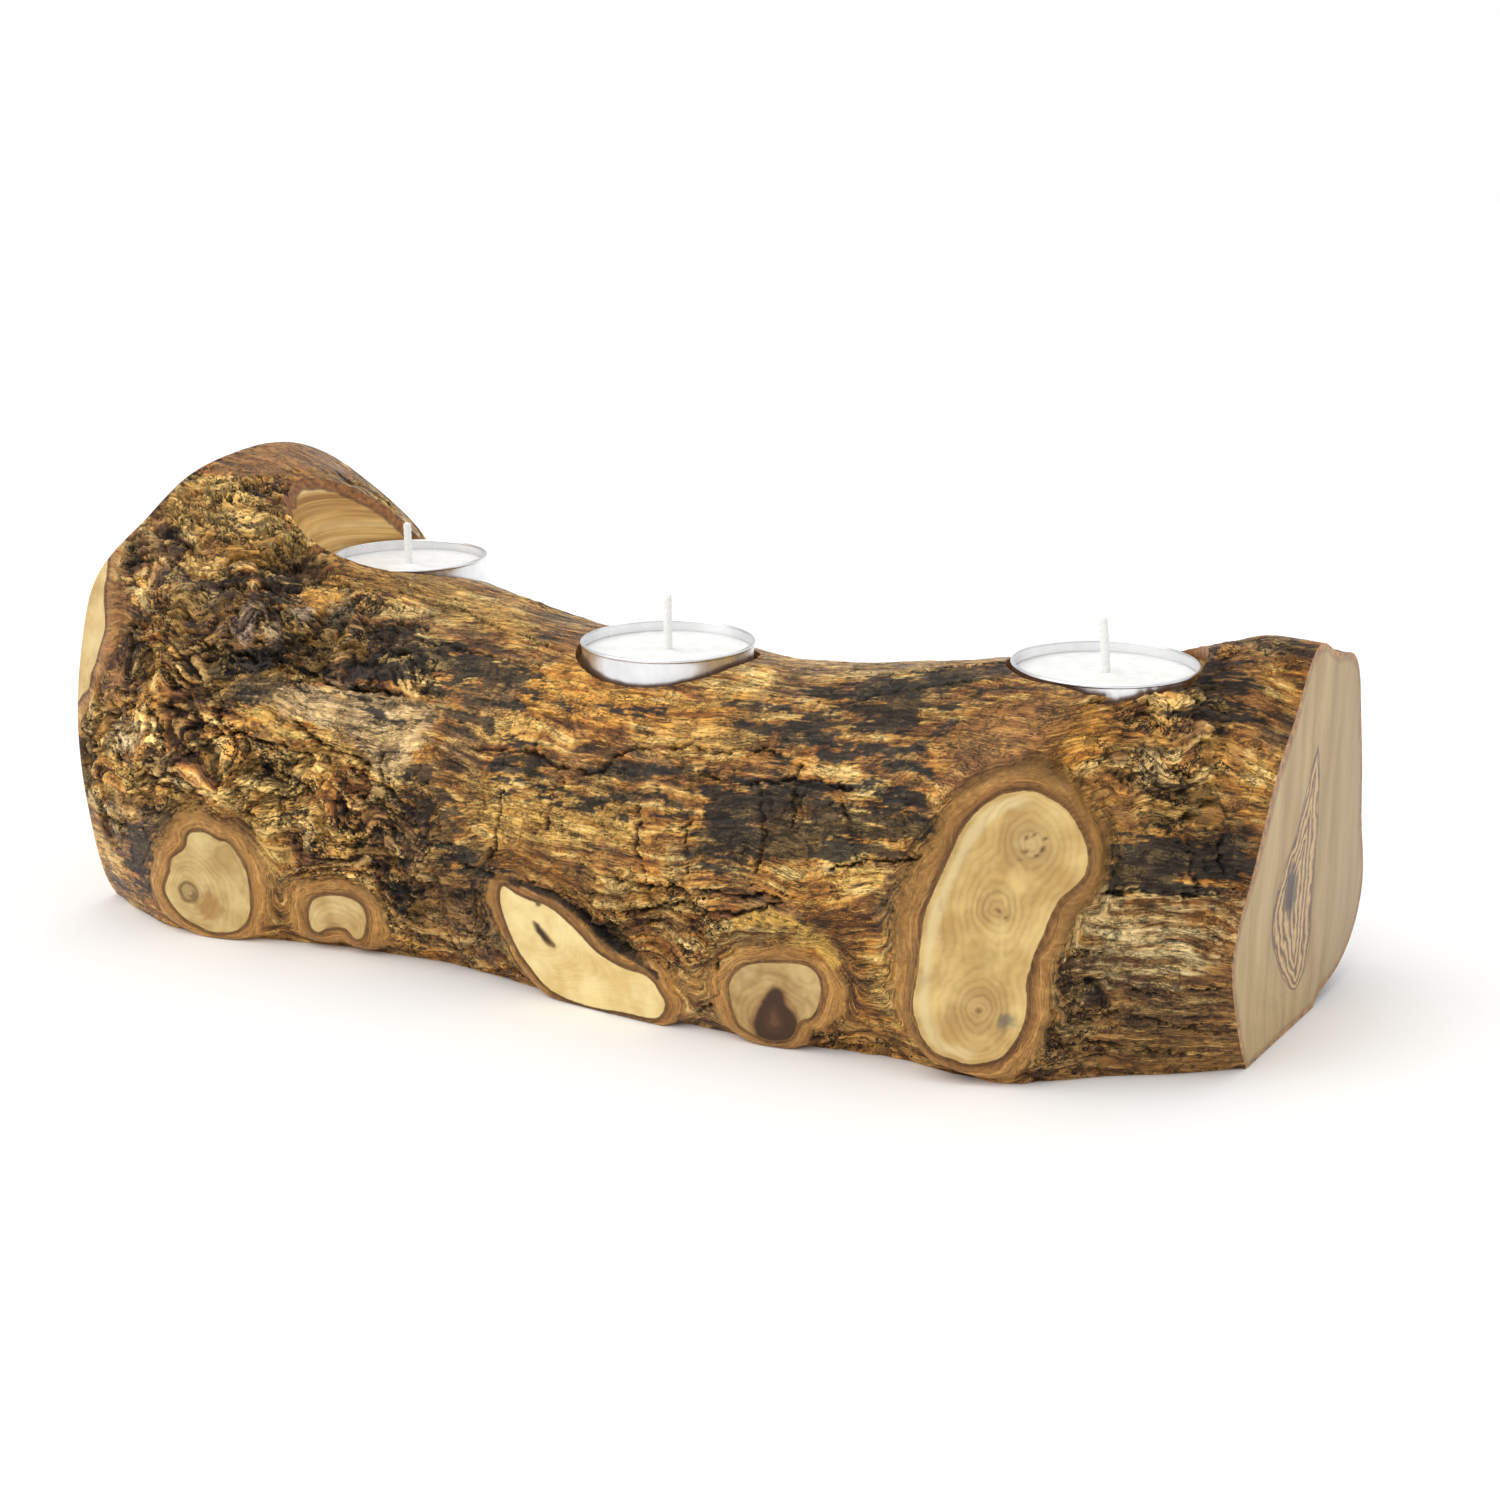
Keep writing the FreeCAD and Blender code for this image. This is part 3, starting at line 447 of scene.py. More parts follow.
# Sawn side branches: name, centre, outward direction, outline (across, up) on the sawn face.
KNOTS = {
    "k1": ((-95.0, -59.7, 13.4), (0.271, -0.961, -0.060),
        [(-3.6, 12.2), (0.2, 13.1), (3.9, 11.6), (6.5, 11.1), (9.0, 7.9), (10.4, 4.4), (10.8, 0.7), (10.5, -4.6), (9.4, -7.8), (7.0, -10.3), (3.4, -11.6), (-0.9, -11.8), (-3.9, -10.7), (-7.2, -9.3), (-9.6, -7.0), (-11.2, -4.4), (-11.7, -1.9), (-9.9, 2.1), (-8.9, 5.4), (-5.1, 8.6)]),
    "k2": ((-63.7, -49.8, 8.7), (0.229, -0.966, -0.120),
        [(-7.6, 0.3), (-6.1, 3.6), (-3.2, 5.2), (0.8, 5.8), (4.1, 5.5), (6.5, 4.0), (7.4, 1.1), (6.4, -2.9), (5.1, -4.6), (3.4, -4.3), (1.8, -2.5), (-1.1, -2.4), (-3.8, -3.3), (-5.8, -4.4), (-7.5, -3.3)]),
    "k3": ((1.5, -44.4, 12.5), (0.054, -0.991, -0.120),
        [(-18.1, 12.8), (-19.3, 9.7), (-19.0, 6.1), (-17.9, 2.2), (-15.8, -2.5), (-13.0, -6.0), (-9.4, -9.7), (-4.3, -11.5), (2.5, -12.1), (10.3, -11.5), (16.2, -11.4), (19.6, -10.6), (21.6, -7.2), (20.2, -4.0), (18.6, -2.0), (16.4, -1.0), (12.9, -0.8), (9.2, 0.0), (4.8, 1.9), (1.5, 4.8), (-1.4, 7.1), (-4.3, 9.1), (-7.8, 10.5), (-10.9, 10.6), (-14.8, 11.5)]),
    "k4": ((48.6, -38.9, 11.9), (0.224, -0.967, -0.120),
        [(-10.3, 0.3), (-9.3, 3.3), (-7.2, 5.7), (-3.8, 7.2), (0.5, 8.0), (5.1, 8.5), (7.6, 8.0), (9.3, 6.2), (9.8, 2.8), (9.0, -0.8), (7.2, -3.6), (5.2, -4.6), (2.7, -9.1), (-1.7, -10.3), (-5.9, -9.3), (-8.5, -7.6), (-9.6, -4.5)]),
    "k5": ((92.9, -29.1, 32.6), (0.415, -0.910, 0.026),
        [(1.4, 28.1), (6.1, 28.7), (9.7, 27.3), (12.8, 25.3), (15.4, 21.5), (17.1, 17.2), (16.8, 12.8), (14.8, 10.0), (12.4, 7.6), (10.6, 3.9), (9.1, -0.7), (7.7, -4.1), (7.2, -6.8), (6.4, -10.2), (6.7, -14.1), (6.3, -18.1), (4.8, -22.2), (2.4, -25.7), (-0.5, -27.2), (-4.4, -27.9), (-7.6, -27.1), (-10.8, -26.1), (-13.2, -23.5), (-14.7, -20.2), (-15.6, -16.3), (-15.1, -11.6), (-14.6, -6.8), (-14.3, -2.2), (-13.8, 2.4), (-12.2, 7.2), (-10.4, 11.8), (-8.8, 15.7), (-7.0, 20.3), (-4.0, 24.4), (-1.1, 26.8)]),
}
# ------------------------------------------------------- bark relief and tint
def catmull(poly, n=6, closed=True):
    p = np.array(poly, float)
    k = len(p)
    out = []
    for i in range(k if closed else k - 1):
        a, b, c, d = (p[(i + j) % k] if closed else p[min(max(i + j, 0), k - 1)] for j in (-1, 0, 1, 2))
        t = np.linspace(0, 1, n, endpoint=False)[:, None]
        out.append(0.5 * (2 * b + (c - a) * t + (2 * a - 5 * b + 4 * c - d) * t ** 2 + (3 * b - a - 3 * c + d) * t ** 3))
    if not closed:
        out.append(p[-1:])
    return np.vstack(out)


def seg_dist2(px, py, a, b):
    ab = b - a
    t = np.clip(((px - a[0]) * ab[0] + (py - a[1]) * ab[1]) / max(ab @ ab, 1e-9), 0, 1)
    return (px - a[0] - t * ab[0]) ** 2 + (py - a[1] - t * ab[1]) ** 2


def poly_sd(px, py, poly):
    """Signed distance to a closed outline, negative inside."""
    d = np.full(px.shape, 1e9)
    inside = np.zeros(px.shape, bool)
    for a, b in zip(poly, np.roll(poly, -1, 0)):
        d = np.minimum(d, seg_dist2(px, py, a, b))
        cond = (a[1] > py) != (b[1] > py)
        with np.errstate(divide="ignore", invalid="ignore"):
            xi = (b[0] - a[0]) * (py - a[1]) / (b[1] - a[1]) + a[0]
        inside ^= cond & (px < xi)
    return np.where(inside, -1, 1) * np.sqrt(d)


def near_sd(px, py, poly, margin, closed=True):
    """poly_sd or line distance, only worked out within margin of the outline."""
    lo, hi = poly.min(0) - margin, poly.max(0) + margin
    sel = (px > lo[0]) & (px < hi[0]) & (py > lo[1]) & (py < hi[1])
    out = np.full(px.shape, 1e3)
    if sel.any():
        if closed:
            out[sel] = poly_sd(px[sel], py[sel], poly)
        else:
            d = np.full(sel.sum(), 1e9)
            for a, b in zip(poly[:-1], poly[1:]):
                d = np.minimum(d, seg_dist2(px[sel], py[sel], a, b))
            out[sel] = np.sqrt(d)
    return out


X, S = XG.copy(), SARC.copy()
PX, PY, PZ = BASE[..., 0], BASE[..., 1], BASE[..., 2]

n_low = fbm(PX / 26, PY / 26, PZ / 26, 3, 11)
n_mid = fbm(PX / 9, PY / 9, PZ / 9, 3, 12)
n_fine = fbm(PX / 2.2, PY / 2.2, PZ / 2.2, 3, 13)

# Sawn branches: how far each point is from each outline, and how far it must move to lie on the sawn plane.
KD = np.full(X.shape, 1e3)
KR = np.zeros(X.shape)
KU = np.zeros(X.shape)
KV = np.zeros(X.shape)
KID = np.full(X.shape, -1)
KT = np.zeros(X.shape)
FRAMES = {}
for ki, (name, (c, n, outline)) in enumerate(KNOTS.items()):
    c, n = np.array(c), np.array(n)
    n = n / np.linalg.norm(n)
    tu = np.array([-n[1], n[0], 0.0])
    tu /= np.linalg.norm(tu)
    if tu[0] < 0:
        tu = -tu
    tv = np.cross(n, tu)
    if tv[2] < 0:
        tv = -tv
    line = catmull(outline, 5)
    FRAMES[name] = (c, n, tu, tv, line)
    reach = np.abs(line).max() + 26
    sel = ((BASE - c) ** 2).sum(-1) < reach ** 2
    sel &= (NRM @ n) > 0.35
    P, N = BASE[sel], NRM[sel]
    t = -((P - c) @ n) / (N @ n)
    t = np.clip(t, -7, 7)
    P1 = P + N * t[:, None]
    u, v = (P1 - c) @ tu, (P1 - c) @ tv
    sd = poly_sd(u, v, line)
    closer = sd < KD[sel]
    for arr, val in ((KD, sd), (KU, u), (KV, v), (KT, t)):
        tmp = arr[sel]
        tmp[closer] = val[closer]
        arr[sel] = tmp
    tmp = KID[sel]
    tmp[closer] = ki
    KID[sel] = tmp
# A sliver of pale sawn wood at the far left end, where the bark was cut away.
SLIVER = np.array([(-140.0, 86.0), (-135.5, 83.6), (-134.0, 80.0), (-132.2, 76.5), (-129.3, 71.1), (-129.5, 67.7), (-131.0, 62.6),
                   (-132.6, 59.4), (-133.0, 56.0), (-135.6, 54.0), (-140.0, 53.0)])
sd6 = near_sd(X, S, catmull(SLIVER, 4), 12)
sd6 = sd6 + (sd6 < 8) * 0.5 * n_mid
near = 1 - smooth(1.5, 9.5, KD + 3.0 * n_mid)          # close to a sawn branch
COLLAR_W = np.array([5.5, 6.0, 3.2, 4.2, 6.5])[np.clip(KID, 0, 4)]
collar = np.maximum(1 - smooth(0.35, 1.15, (KD + 3.5 * n_mid) / COLLAR_W), 1 - smooth(2.0, 6.0, sd6 + 2.0 * n_mid))


def nz(x, y, z, octaves, seed, gain=0.5):
    """Noise stretched so that most of it fills -0.5 to 0.5."""
    return 1.5 * fbm(x, y, z, octaves, seed, gain)


# ---- zones
KINDS = ("lump", "crag", "char", "black", "brown", "grey", "lichen", "gold", "straw", "orange", "smooth")
ZONE = {k: np.zeros(X.shape) for k in KINDS}
streaky = nz(X / 9, S / 1.7, 0 * X, 4, 31, 0.6)
blobby = nz(PX / 4, PY / 4, PZ / 4, 4, 32, 0.6)
RAG = {"lump": (0.8, 2.0), "crag": (3.0, 5.0), "char": (6.0, 2.5), "black": (1.5, 3.0), "brown": (4.0, 4.0), "grey": (4.0, 2.0), "lichen": (1.0, 4.0),
       "gold": (2.0, 4.0), "straw": (4.0, 2.0), "orange": (3.5, 2.5), "smooth": (1.0, 2.0)}
for kind, strength, soft, poly in PATCHES:
    sd = near_sd(X, S, catmull(poly, 3), soft * 2 + 6)
    ra, rb = RAG[kind]
    m = strength * (1 - smooth(-0.6 * soft, 0.6 * soft, sd + ra * streaky + rb * blobby))
    ZONE[kind] = np.maximum(ZONE[kind], m)
# The back of the log, out of sight from the front, carries on in the same way.
back = smooth(0.50, 0.60, S / LEN)
ZONE["crag"] = np.maximum(ZONE["crag"], back * smooth(-0.10, 0.25, n_low + 0.2 * n_mid) * 0.9)
for kind, a, b, lo, hi, top, seed in (("char", 30, 8, 0.12, 0.30, 0.95, 41), ("gold", 14, 6, 0.16, 0.34, 0.9, 42), ("grey", 30, 14, 0.14, 0.34, 0.8, 43),
                                      ("brown", 22, 10, 0.02, 0.25, 0.8, 44), ("orange", 34, 9, 0.16, 0.32, 0.8, 45), ("straw", 26, 5, 0.2, 0.36, 0.8, 46)):
    ZONE[kind] = np.maximum(ZONE[kind], back * smooth(lo, hi, fbm(X / a, S / b, 0 * X, 4, seed)) * top)

crag = ZONE["crag"] * (1 - collar) * (1 - 0.9 * ZONE["smooth"]) * (1 - 0.75 * ZONE["orange"]) * (1 - 0.85 * ZONE["grey"])

# ---- flow: fibres run along the log, wander in the craggy bark and wrap round the branches.
swirl = 1.4 + 5.0 * crag
sw_a = nz(PX / 17, PY / 17, PZ / 17, 2, 22, 0.45)
sw_b = nz(PX / 15, PY / 15, PZ / 15, 2, 23, 0.45)
jag_a = nz(PX / 2.6, PY / 2.6, PZ / 2.6, 3, 24, 0.65)
jag_b = nz(PX / 2.6, PY / 2.6, PZ / 2.6, 3, 25, 0.65)
fib = mix(S + swirl * sw_b + 3.5 * nz(X / 40, S / 26, 0 * X, 2, 21), KD * 1.15 + 2.5 * n_mid, near) + 0.22 * jag_b
fib_a = X + swirl * sw_a + 0.5 * jag_a

# ---- relief
fine_fib = nz(fib_a / 5.0, fib / 0.8, 0 * X, 3, 61, 0.6)
mid_fib = nz(fib_a / 12, fib / 2.0, 0 * X, 3, 62)
big_fib = nz(fib_a / 24, fib / 6.0, 0 * X, 3, 63)
lump = nz(fib_a / 7.5, fib / 3.2, 0 * X, 5, 64, 0.6)
lump2 = nz(fib_a / 3.0, fib / 1.5, 0 * X, 4, 66, 0.6)
q = (lump * 1.0 + 0.35 * lump2) * 3.4
terrace = (np.floor(q) + smooth(0.62, 0.95, q - np.floor(q))) / 3.4
cl = nz(PX / 11, PY / 11, PZ / 11, 3, 65)
rag = 0.06 * blobby
c_big = smooth(0.885, 0.965, ridged(fib_a / 12, fib / 4.2, 0 * X, 2, 53, 0.35) + rag) * smooth(-0.30, 0.10, cl)
c_mid = smooth(0.86, 0.95, ridged(fib_a / 5.0, fib / 1.7, 0 * X, 2, 54, 0.35) + rag) * smooth(-0.25, 0.20, -cl + 0.4 * n_low)
pit = smooth(0.20, 0.38, nz(fib_a / 8, fib / 4.5, 0 * X, 5, 55, 0.65))
# Flaking plates of bark: ragged cells at two sizes, each at its own height and tint.
wa = 3.0 * nz(PX / 7, PY / 7, PZ / 7, 3, 56, 0.6) + 1.3 * jag_a
wb = 2.4 * nz(PX / 7, PY / 7, PZ / 7, 3, 57, 0.6) + 0.9 * jag_b
f1, f2, cid = worley2((fib_a + wa) / 9.0, (fib + wb) / 4.4, 5)
plate_gap = 1 - smooth(0.03, 0.11 + 0.15 * smooth(-0.3, 0.5, cl), f2 - f1)
g1, g2, gid = worley2((fib_a + 0.8 * wa) / 2.7 + 40, (fib + 0.8 * wb) / 1.25, 9)
flake_gap = (1 - smooth(0.015, 0.11, g2 - g1)) * smooth(-0.20, 0.25, cl)

split_r = ridged(fib_a / 14, fib / 1.8, 0 * X, 2, 67, 0.3)
split = smooth(0.90, 0.97, split_r + rag) * smooth(0.0, 0.35, nz(PX / 9, PY / 9, PZ / 9, 2, 68)) * (1 - near)
mid_panel = smooth(-70, -20, X) * (1 - smooth(70, 95, X)) * smooth(24, 36, S) * (1 - smooth(64, 74, S))
cross_r = ridged(X / 4.2 + 0.25 * blobby, S / 11.0, 0 * X, 2, 69, 0.25)
cross = smooth(0.91, 0.97, cross_r) * np.clip(0.9 * ZONE["char"] + 0.9 * mid_panel * smooth(-0.1, 0.3, cl) + 0.6 * ZONE["grey"], 0, 1) * (1 - near)

H = -0.60 + 0.30 * n_low + 0.24 * mid_fib + 0.13 * fine_fib + 0.12 * n_mid + 0.2 * big_fib
H -= 0.55 * split + 0.45 * cross
knobbly = nz(PX / 12, PY / 12, PZ / 12, 2, 58)
H += crag * (0.9 * knobbly + 0.25 * lump + 0.35 * terrace + 0.05 * lump2 + 1.00 * (cid - 0.5) + 0.20 * (gid - 0.5)
             - 0.90 * plate_gap - 0.10 * flake_gap - 1.10 * c_big - 0.35 * c_mid - 1.20 * pit)
H += ZONE["lump"] * (0.9 + 0.35 * lump2)
H -= (1 - crag) * 0.10 * flake_gap
H -= ZONE["gold"] * 0.12
H = mix(H, -0.30 + 0.10 * mid_fib + 0.06 * fine_fib, np.clip(ZONE["smooth"], 0, 1) * 0.92)
H = mix(H, -0.40 + 0.20 * mid_fib + 0.10 * fine_fib, np.clip(ZONE["orange"], 0, 1) * 0.6)
H -= ZONE["black"] * (1.1 + 1.2 * smooth(-0.3, 0.4, blobby + 0.4 * lump2) + 0.5 * lump2)
crack = np.zeros(X.shape)
jx = 1.5 * fbm(PX / 4, PY / 4, PZ / 4, 3, 71) + 0.7 * perlin(PX / 1.1, PY / 1.1, PZ / 1.1, 73)
js = 1.5 * fbm(PX / 4, PY / 4, PZ / 4, 3, 72) + 0.7 * perlin(PX / 1.1, PY / 1.1, PZ / 1.1, 74)
breaks = smooth(-0.45, 0.15, nz(PX / 5, PY / 5, PZ / 5, 3, 75))
for width, depth, line in CRACKS:
    d = near_sd(X + jx, S + js, catmull(line, 4, False), 4, False)
    wv = width * (0.34 + 0.44 * breaks)
    m = (1 - smooth(wv * 0.35, wv, d)) * (0.35 + 0.65 * breaks)
    lip = (1 - smooth(width, width * 3.2, d)) * 0.25
    H += lip * (1 - m) - m * depth * 0.8
    crack = np.maximum(crack, m)
streak = np.zeros(X.shape)
for width, line in STREAKS:
    d = near_sd(X, S + js, catmull(line, 4, False), 7, False)
    streak = np.maximum(streak, 1 - smooth(width * 0.2, width * 1.0, d + width * 1.6 * streaky + 0.8 * blobby))
# Small rounded nodules, each ringed with painted shade at its foot, and two worm holes filled with painted shade.
NODULES = [(105.5, 64.3, 1.1), (107.5, 60.8, 1.0), (103.5, 62.9, 0.9), (123.5, 57.4, 1.9), (121.6, 55.4, 1.3), (108.5, 68.1, 1.2), (111.0, 66.7, 1.0),
           (107.0, 66.0, 0.9), (100.5, 24.6, 0.8), (101.0, 27.4, 0.8), (101.5, 31.3, 0.7), (100.0, 21.8, 0.7), (125.5, 60.4, 1.4), (118.9, 54.2, 1.1)]
nod = np.zeros(X.shape)
foot_shade = np.zeros(X.shape)
for nx_, ns_, nr in NODULES:
    d = np.hypot(X - nx_ + 0.5 * n_fine, (S - ns_) * 1.1 + 0.5 * n_fine) / nr
    cap_h = np.sqrt(np.clip(1 - (d / 1.15) ** 2, 0, 1))
    H = np.where(d < 1.15, np.maximum(H, -0.75 + 1.1 * nr * 0.8 * cap_h), H)
    nod = np.maximum(nod, 1 - smooth(0.85, 1.1, d))
    foot_shade = np.maximum(foot_shade, np.exp(-((d - 1.2) / 0.22) ** 2))
hole = np.zeros(X.shape)
for hx, hs, hr in ((77.5, 26.2, 0.75), (71.0, 95.7, 0.8)):
    d = np.hypot(X - hx, S - hs)
    m = 1 - smooth(hr * 0.7, hr * 1.2, d)
    H -= 2.2 * m
    hole = np.maximum(hole, m)
# The bark stands fuller in front of the right recess.
H = np.minimum(H, 0.55 + 1.2 * ZONE["lump"])
H += 1.9 * np.exp(-((X - 110.5) / 8.0) ** 2 - ((S - 80.0) / 8.0) ** 2)
# Thin walls beside the recesses stay sound.
for tx, ty, rim, _w in TEALIGHTS.values():
    r = np.hypot(PX - tx, PY - ty)
    w = (1 - smooth(RECESS_R + 1.5, RECESS_R + 8.0, r)) * smooth(rim - CUP_H - 6, rim - CUP_H + 2, PZ)
    H = mix(H, np.clip(H, -0.55, 2.2), w)
H = np.clip(H, -4.0, 2.2)

# Sawn branches are flat; the collar round each is smoother and stands a little proud.
collar_h = -0.20 + 0.22 * np.exp(-((KD - 1.8) / 1.5) ** 2) + 0.05 * np.sin(KD * 3.1 + 3 * n_mid) + 0.10 * fine_fib + 0.12 * blobby * smooth(1.0, 4.0, KD)
w_flat = 1 - smooth(0.6, 7.0, KD)
H = mix(H, KT + collar_h * smooth(0.0, 0.8, KD), w_flat)
H = np.where(KD < 0.0, KT, H)
H = mix(H, -0.5 + 0.0 * H, 1 - smooth(0.0, 1.2, sd6))
KD = np.where(sd6 < KD, sd6, KD)
KID = np.where((sd6 <= KD) & (sd6 < 12), 5, KID)

# Near the saw cuts the outline is even, so that the sawn ends stay clean.
end_w = 1 - smooth(0.2, 1.8, np.minimum(X - X0, X1 - X))
H = mix(H, -0.55 + 0.35 * n_low + 0.10 * n_mid, end_w)
# The skin keeps to the sawn ends and to the flat base.
DISP = BASE + NRM * H[..., None]
DISP[0, :, 0], DISP[-1, :, 0] = X0, X1
DISP[..., 0] = np.clip(DISP[..., 0], X0, X1)
DISP[..., 2] = np.maximum(DISP[..., 2], 0.0)
DISP[:, 0, 2] = 0.0
DISP[:, -1, 2] = 0.0
print("relief", "%.1fs" % (time.time() - T_START), "H", H.min().round(2), H.max().round(2))

# ---- tint
v = 0.56 + 0.58 * mid_fib + 0.40 * fine_fib * (1 - 0.7 * crag) + (0.50 + 0.30 * crag) * big_fib + 0.30 * n_mid + 0.45 * n_low
v += crag * (0.20 * lump + 0.15 * lump2 + 0.50 * (cid - 0.5) + 0.22 * (gid - 0.5) + 0.07)
v = np.clip(v, 0, 1)
stops = [0.0, 0.20, 0.38, 0.54, 0.70, 0.86, 1.0]
cols = np.array([srgb(44, 29, 17), srgb(80, 50, 26), srgb(118, 74, 35), srgb(156, 101, 45), srgb(188, 130, 58), srgb(214, 164, 84), srgb(236, 200, 128)])
COL = np.stack([np.interp(v, stops, cols[:, k]) for k in range(3)], -1)


def tint(color, amount):
    global COL
    COL = mix(COL, color, np.clip(amount, 0, 1))


tone = np.clip(0.52 + 0.80 * mid_fib + 0.62 * fine_fib + crag * (0.25 * lump2 + 0.7 * (cid - 0.5) + 0.2 * (gid - 0.5)), 0, 1)[..., None]
hue = nz(PX / 14, PY / 14, PZ / 14, 4, 80)
tint(srgb(120, 66, 18) * (1 - tone) + srgb(208, 136, 48) * tone, 0.50 * smooth(0.0, 0.45, hue))
tint(srgb(84, 68, 50) * (1 - tone) + srgb(158, 134, 98) * tone, 0.45 * smooth(0.05, 0.45, -hue))
tint(srgb(72, 50, 30) * (1 - tone) + srgb(138, 100, 58) * tone, ZONE["brown"] * 0.8)
tint(srgb(142, 114, 80) * (1 - tone) + srgb(224, 192, 144) * tone, ZONE["grey"] * 0.92)
tint(srgb(84, 82, 66) * (1 - tone) + srgb(160, 154, 124) * tone, ZONE["lichen"] * 0.8)
tint(srgb(198, 138, 56) * (1 - tone) + srgb(250, 212, 124) * tone, ZONE["gold"] * 0.95)
tint(srgb(184, 144, 84) * (1 - tone) + srgb(248, 226, 172) * tone, ZONE["straw"] * 0.85 * smooth(-0.25, 0.15, mid_fib + 0.5 * fine_fib))
tint(srgb(164, 98, 28) * (1 - tone) + srgb(240, 176, 74) * tone, ZONE["orange"] * 0.85)
tint(srgb(128, 80, 38) * (1 - tone) + srgb(172, 120, 64) * tone, ZONE["smooth"] * 0.9)
warm = smooth(0.18, 0.42, nz(fib_a / 8, fib / 2.6, 0 * X, 4, 82, 0.6)) * (1 - 0.8 * ZONE["brown"]) * (1 - 0.8 * ZONE["smooth"])
tint(srgb(196, 140, 64) * (1 - tone) + srgb(242, 206, 126) * tone, warm * (0.35 + 0.35 * crag))
char_n = nz(fib_a / 10, fib / 1.15, 0 * X, 4, 81, 0.6)
COL = COL * np.array([1.06, 1.05, 0.97]) * (1.06 + 0.34 * crag * (1 - 0.8 * np.clip(ZONE["char"] + ZONE["brown"], 0, 1)))[..., None]
COL[..., 2] *= 1 + 0.10 * crag
# Broad lighter and darker areas: centre x and s, half widths, gain.
for shade_x, shade_s, shade_a, shade_b, shade_g in ((-98, 48, 24, 16, 0.26), (-17, 70, 18, 10, 0.26), (115, 67, 11, 11, 0.42), (54, 55, 26, 9, 0.16), (115, 19, 14, 12, -0.22), (-62, 58, 20, 8, 0.14)):
    COL = COL * (1 + shade_g * np.exp(-((X - shade_x) / shade_a) ** 2 - ((S - shade_s) / shade_b) ** 2))[..., None]
char_m = smooth(0.34, 0.54, ZONE["char"] * 0.70 + 0.60 * char_n + 0.25 * blobby)
char_m = np.maximum(char_m, smooth(0.40, 0.62, streak * 0.85 + 0.35 * char_n))
char_m = np.maximum(char_m, 0.8 * smooth(0.42, 0.56, char_n + 0.35 * n_low) * (1 - ZONE["smooth"]) * (1 - collar))
tint(srgb(24, 22, 19) * (1 - tone) + srgb(60, 54, 44) * tone, char_m * 0.95)
tint(srgb(120, 96, 78) * (1 - tone) + srgb(196, 168, 140) * tone, ZONE["lump"] * 0.9)
# Crevices, pits, plate gaps, splits, cross cracks, cracks and black patches go near-black: partly the bark's own dark
# colour, partly painted shade in these hollows.
dark = np.clip(crag * (0.90 * c_big + 0.45 * c_mid + 0.85 * pit + 0.80 * plate_gap + 0.22 * flake_gap) + 0.75 * split + 0.75 * cross + crack + ZONE["black"] * (0.75 + 0.4 * blobby), 0, 1)
dark = dark * (1 - 0.35 * np.clip(ZONE["gold"], 0, 1) * (1 - crack))
tint(srgb(22, 16, 11), dark * 0.93)

tint(srgb(150, 92, 42) * (1 - tone) + srgb(214, 158, 84) * tone, nod * 0.85)
# Painted shade round the foot of each nodule and inside the worm holes.
tint(srgb(40, 25, 14), np.clip(foot_shade * 0.8 + hole, 0, 1) * 0.95)

# Smooth bark collar round the sawn branches.
ringy = 0.5 + 0.5 * np.sin(KD * 5.2 + 5.0 * n_mid + 3.0 * fine_fib)
ring_w = 0.32 * (1 - smooth(0.8, 3.0, KD)) + 0.04
soft_tone = np.clip(0.5 + 0.45 * (tone[..., 0] - 0.5) + 0.35 * blobby, 0, 1)[..., None]
ring_col = mix(srgb(166, 112, 52) * (1 - soft_tone) + srgb(216, 164, 92) * soft_tone, srgb(104, 64, 30), ringy * ring_w)
deep_ring = (1 - smooth(1.2, 2.8, KD + 1.0 * n_mid)) * np.array([0.10, 0.30, 0.5, 0.15, 0.55, 0.0])[np.clip(KID, 0, 5)]
ring_col = mix(ring_col, srgb(122, 78, 40), deep_ring)
tint(ring_col, (1 - smooth(0.72, 1.18, (KD + 4.0 * n_mid + 2.5 * blobby) / COLLAR_W)) * (KID != 5) * 0.92)
tint(srgb(150, 104, 58) * (1 - tone) + srgb(180, 134, 82) * tone, (1 - smooth(1.5, 5.5, sd6 + 2.0 * n_mid)) * 0.85)
tint(srgb(66, 38, 20), np.exp(-((KD - 0.45) / 0.45) ** 2) * 0.75)
# A golden arc over the small branch, and a near-black arc of painted shade along the undercut above the sharp one.
ARCS = (((240, 188, 88), 1.8, 0.90, [(41.5, 28.4), (46.5, 30.6), (52.0, 30.7), (57.5, 28.0), (61.5, 22.8)]),
        ((24, 17, 11), 1.5, 0.92, [(-14.0, 28.2), (-5.0, 27.2), (1.5, 24.6), (7.0, 20.6), (12.5, 16.6)]),
        ((24, 17, 11), 0.9, 0.85, [(12.5, 16.6), (18.0, 14.6), (21.5, 12.6)]))
for rgb, width, top, line in ARCS:
    d = near_sd(X, S, catmull(line, 5, False), 5, False)
    tint(srgb(*rgb), (1 - smooth(width * 0.35, width, d + 0.9 * blobby + 0.35 * streaky)) * top * (KD > 0.6))
print("tint", "%.1fs" % (time.time() - T_START))
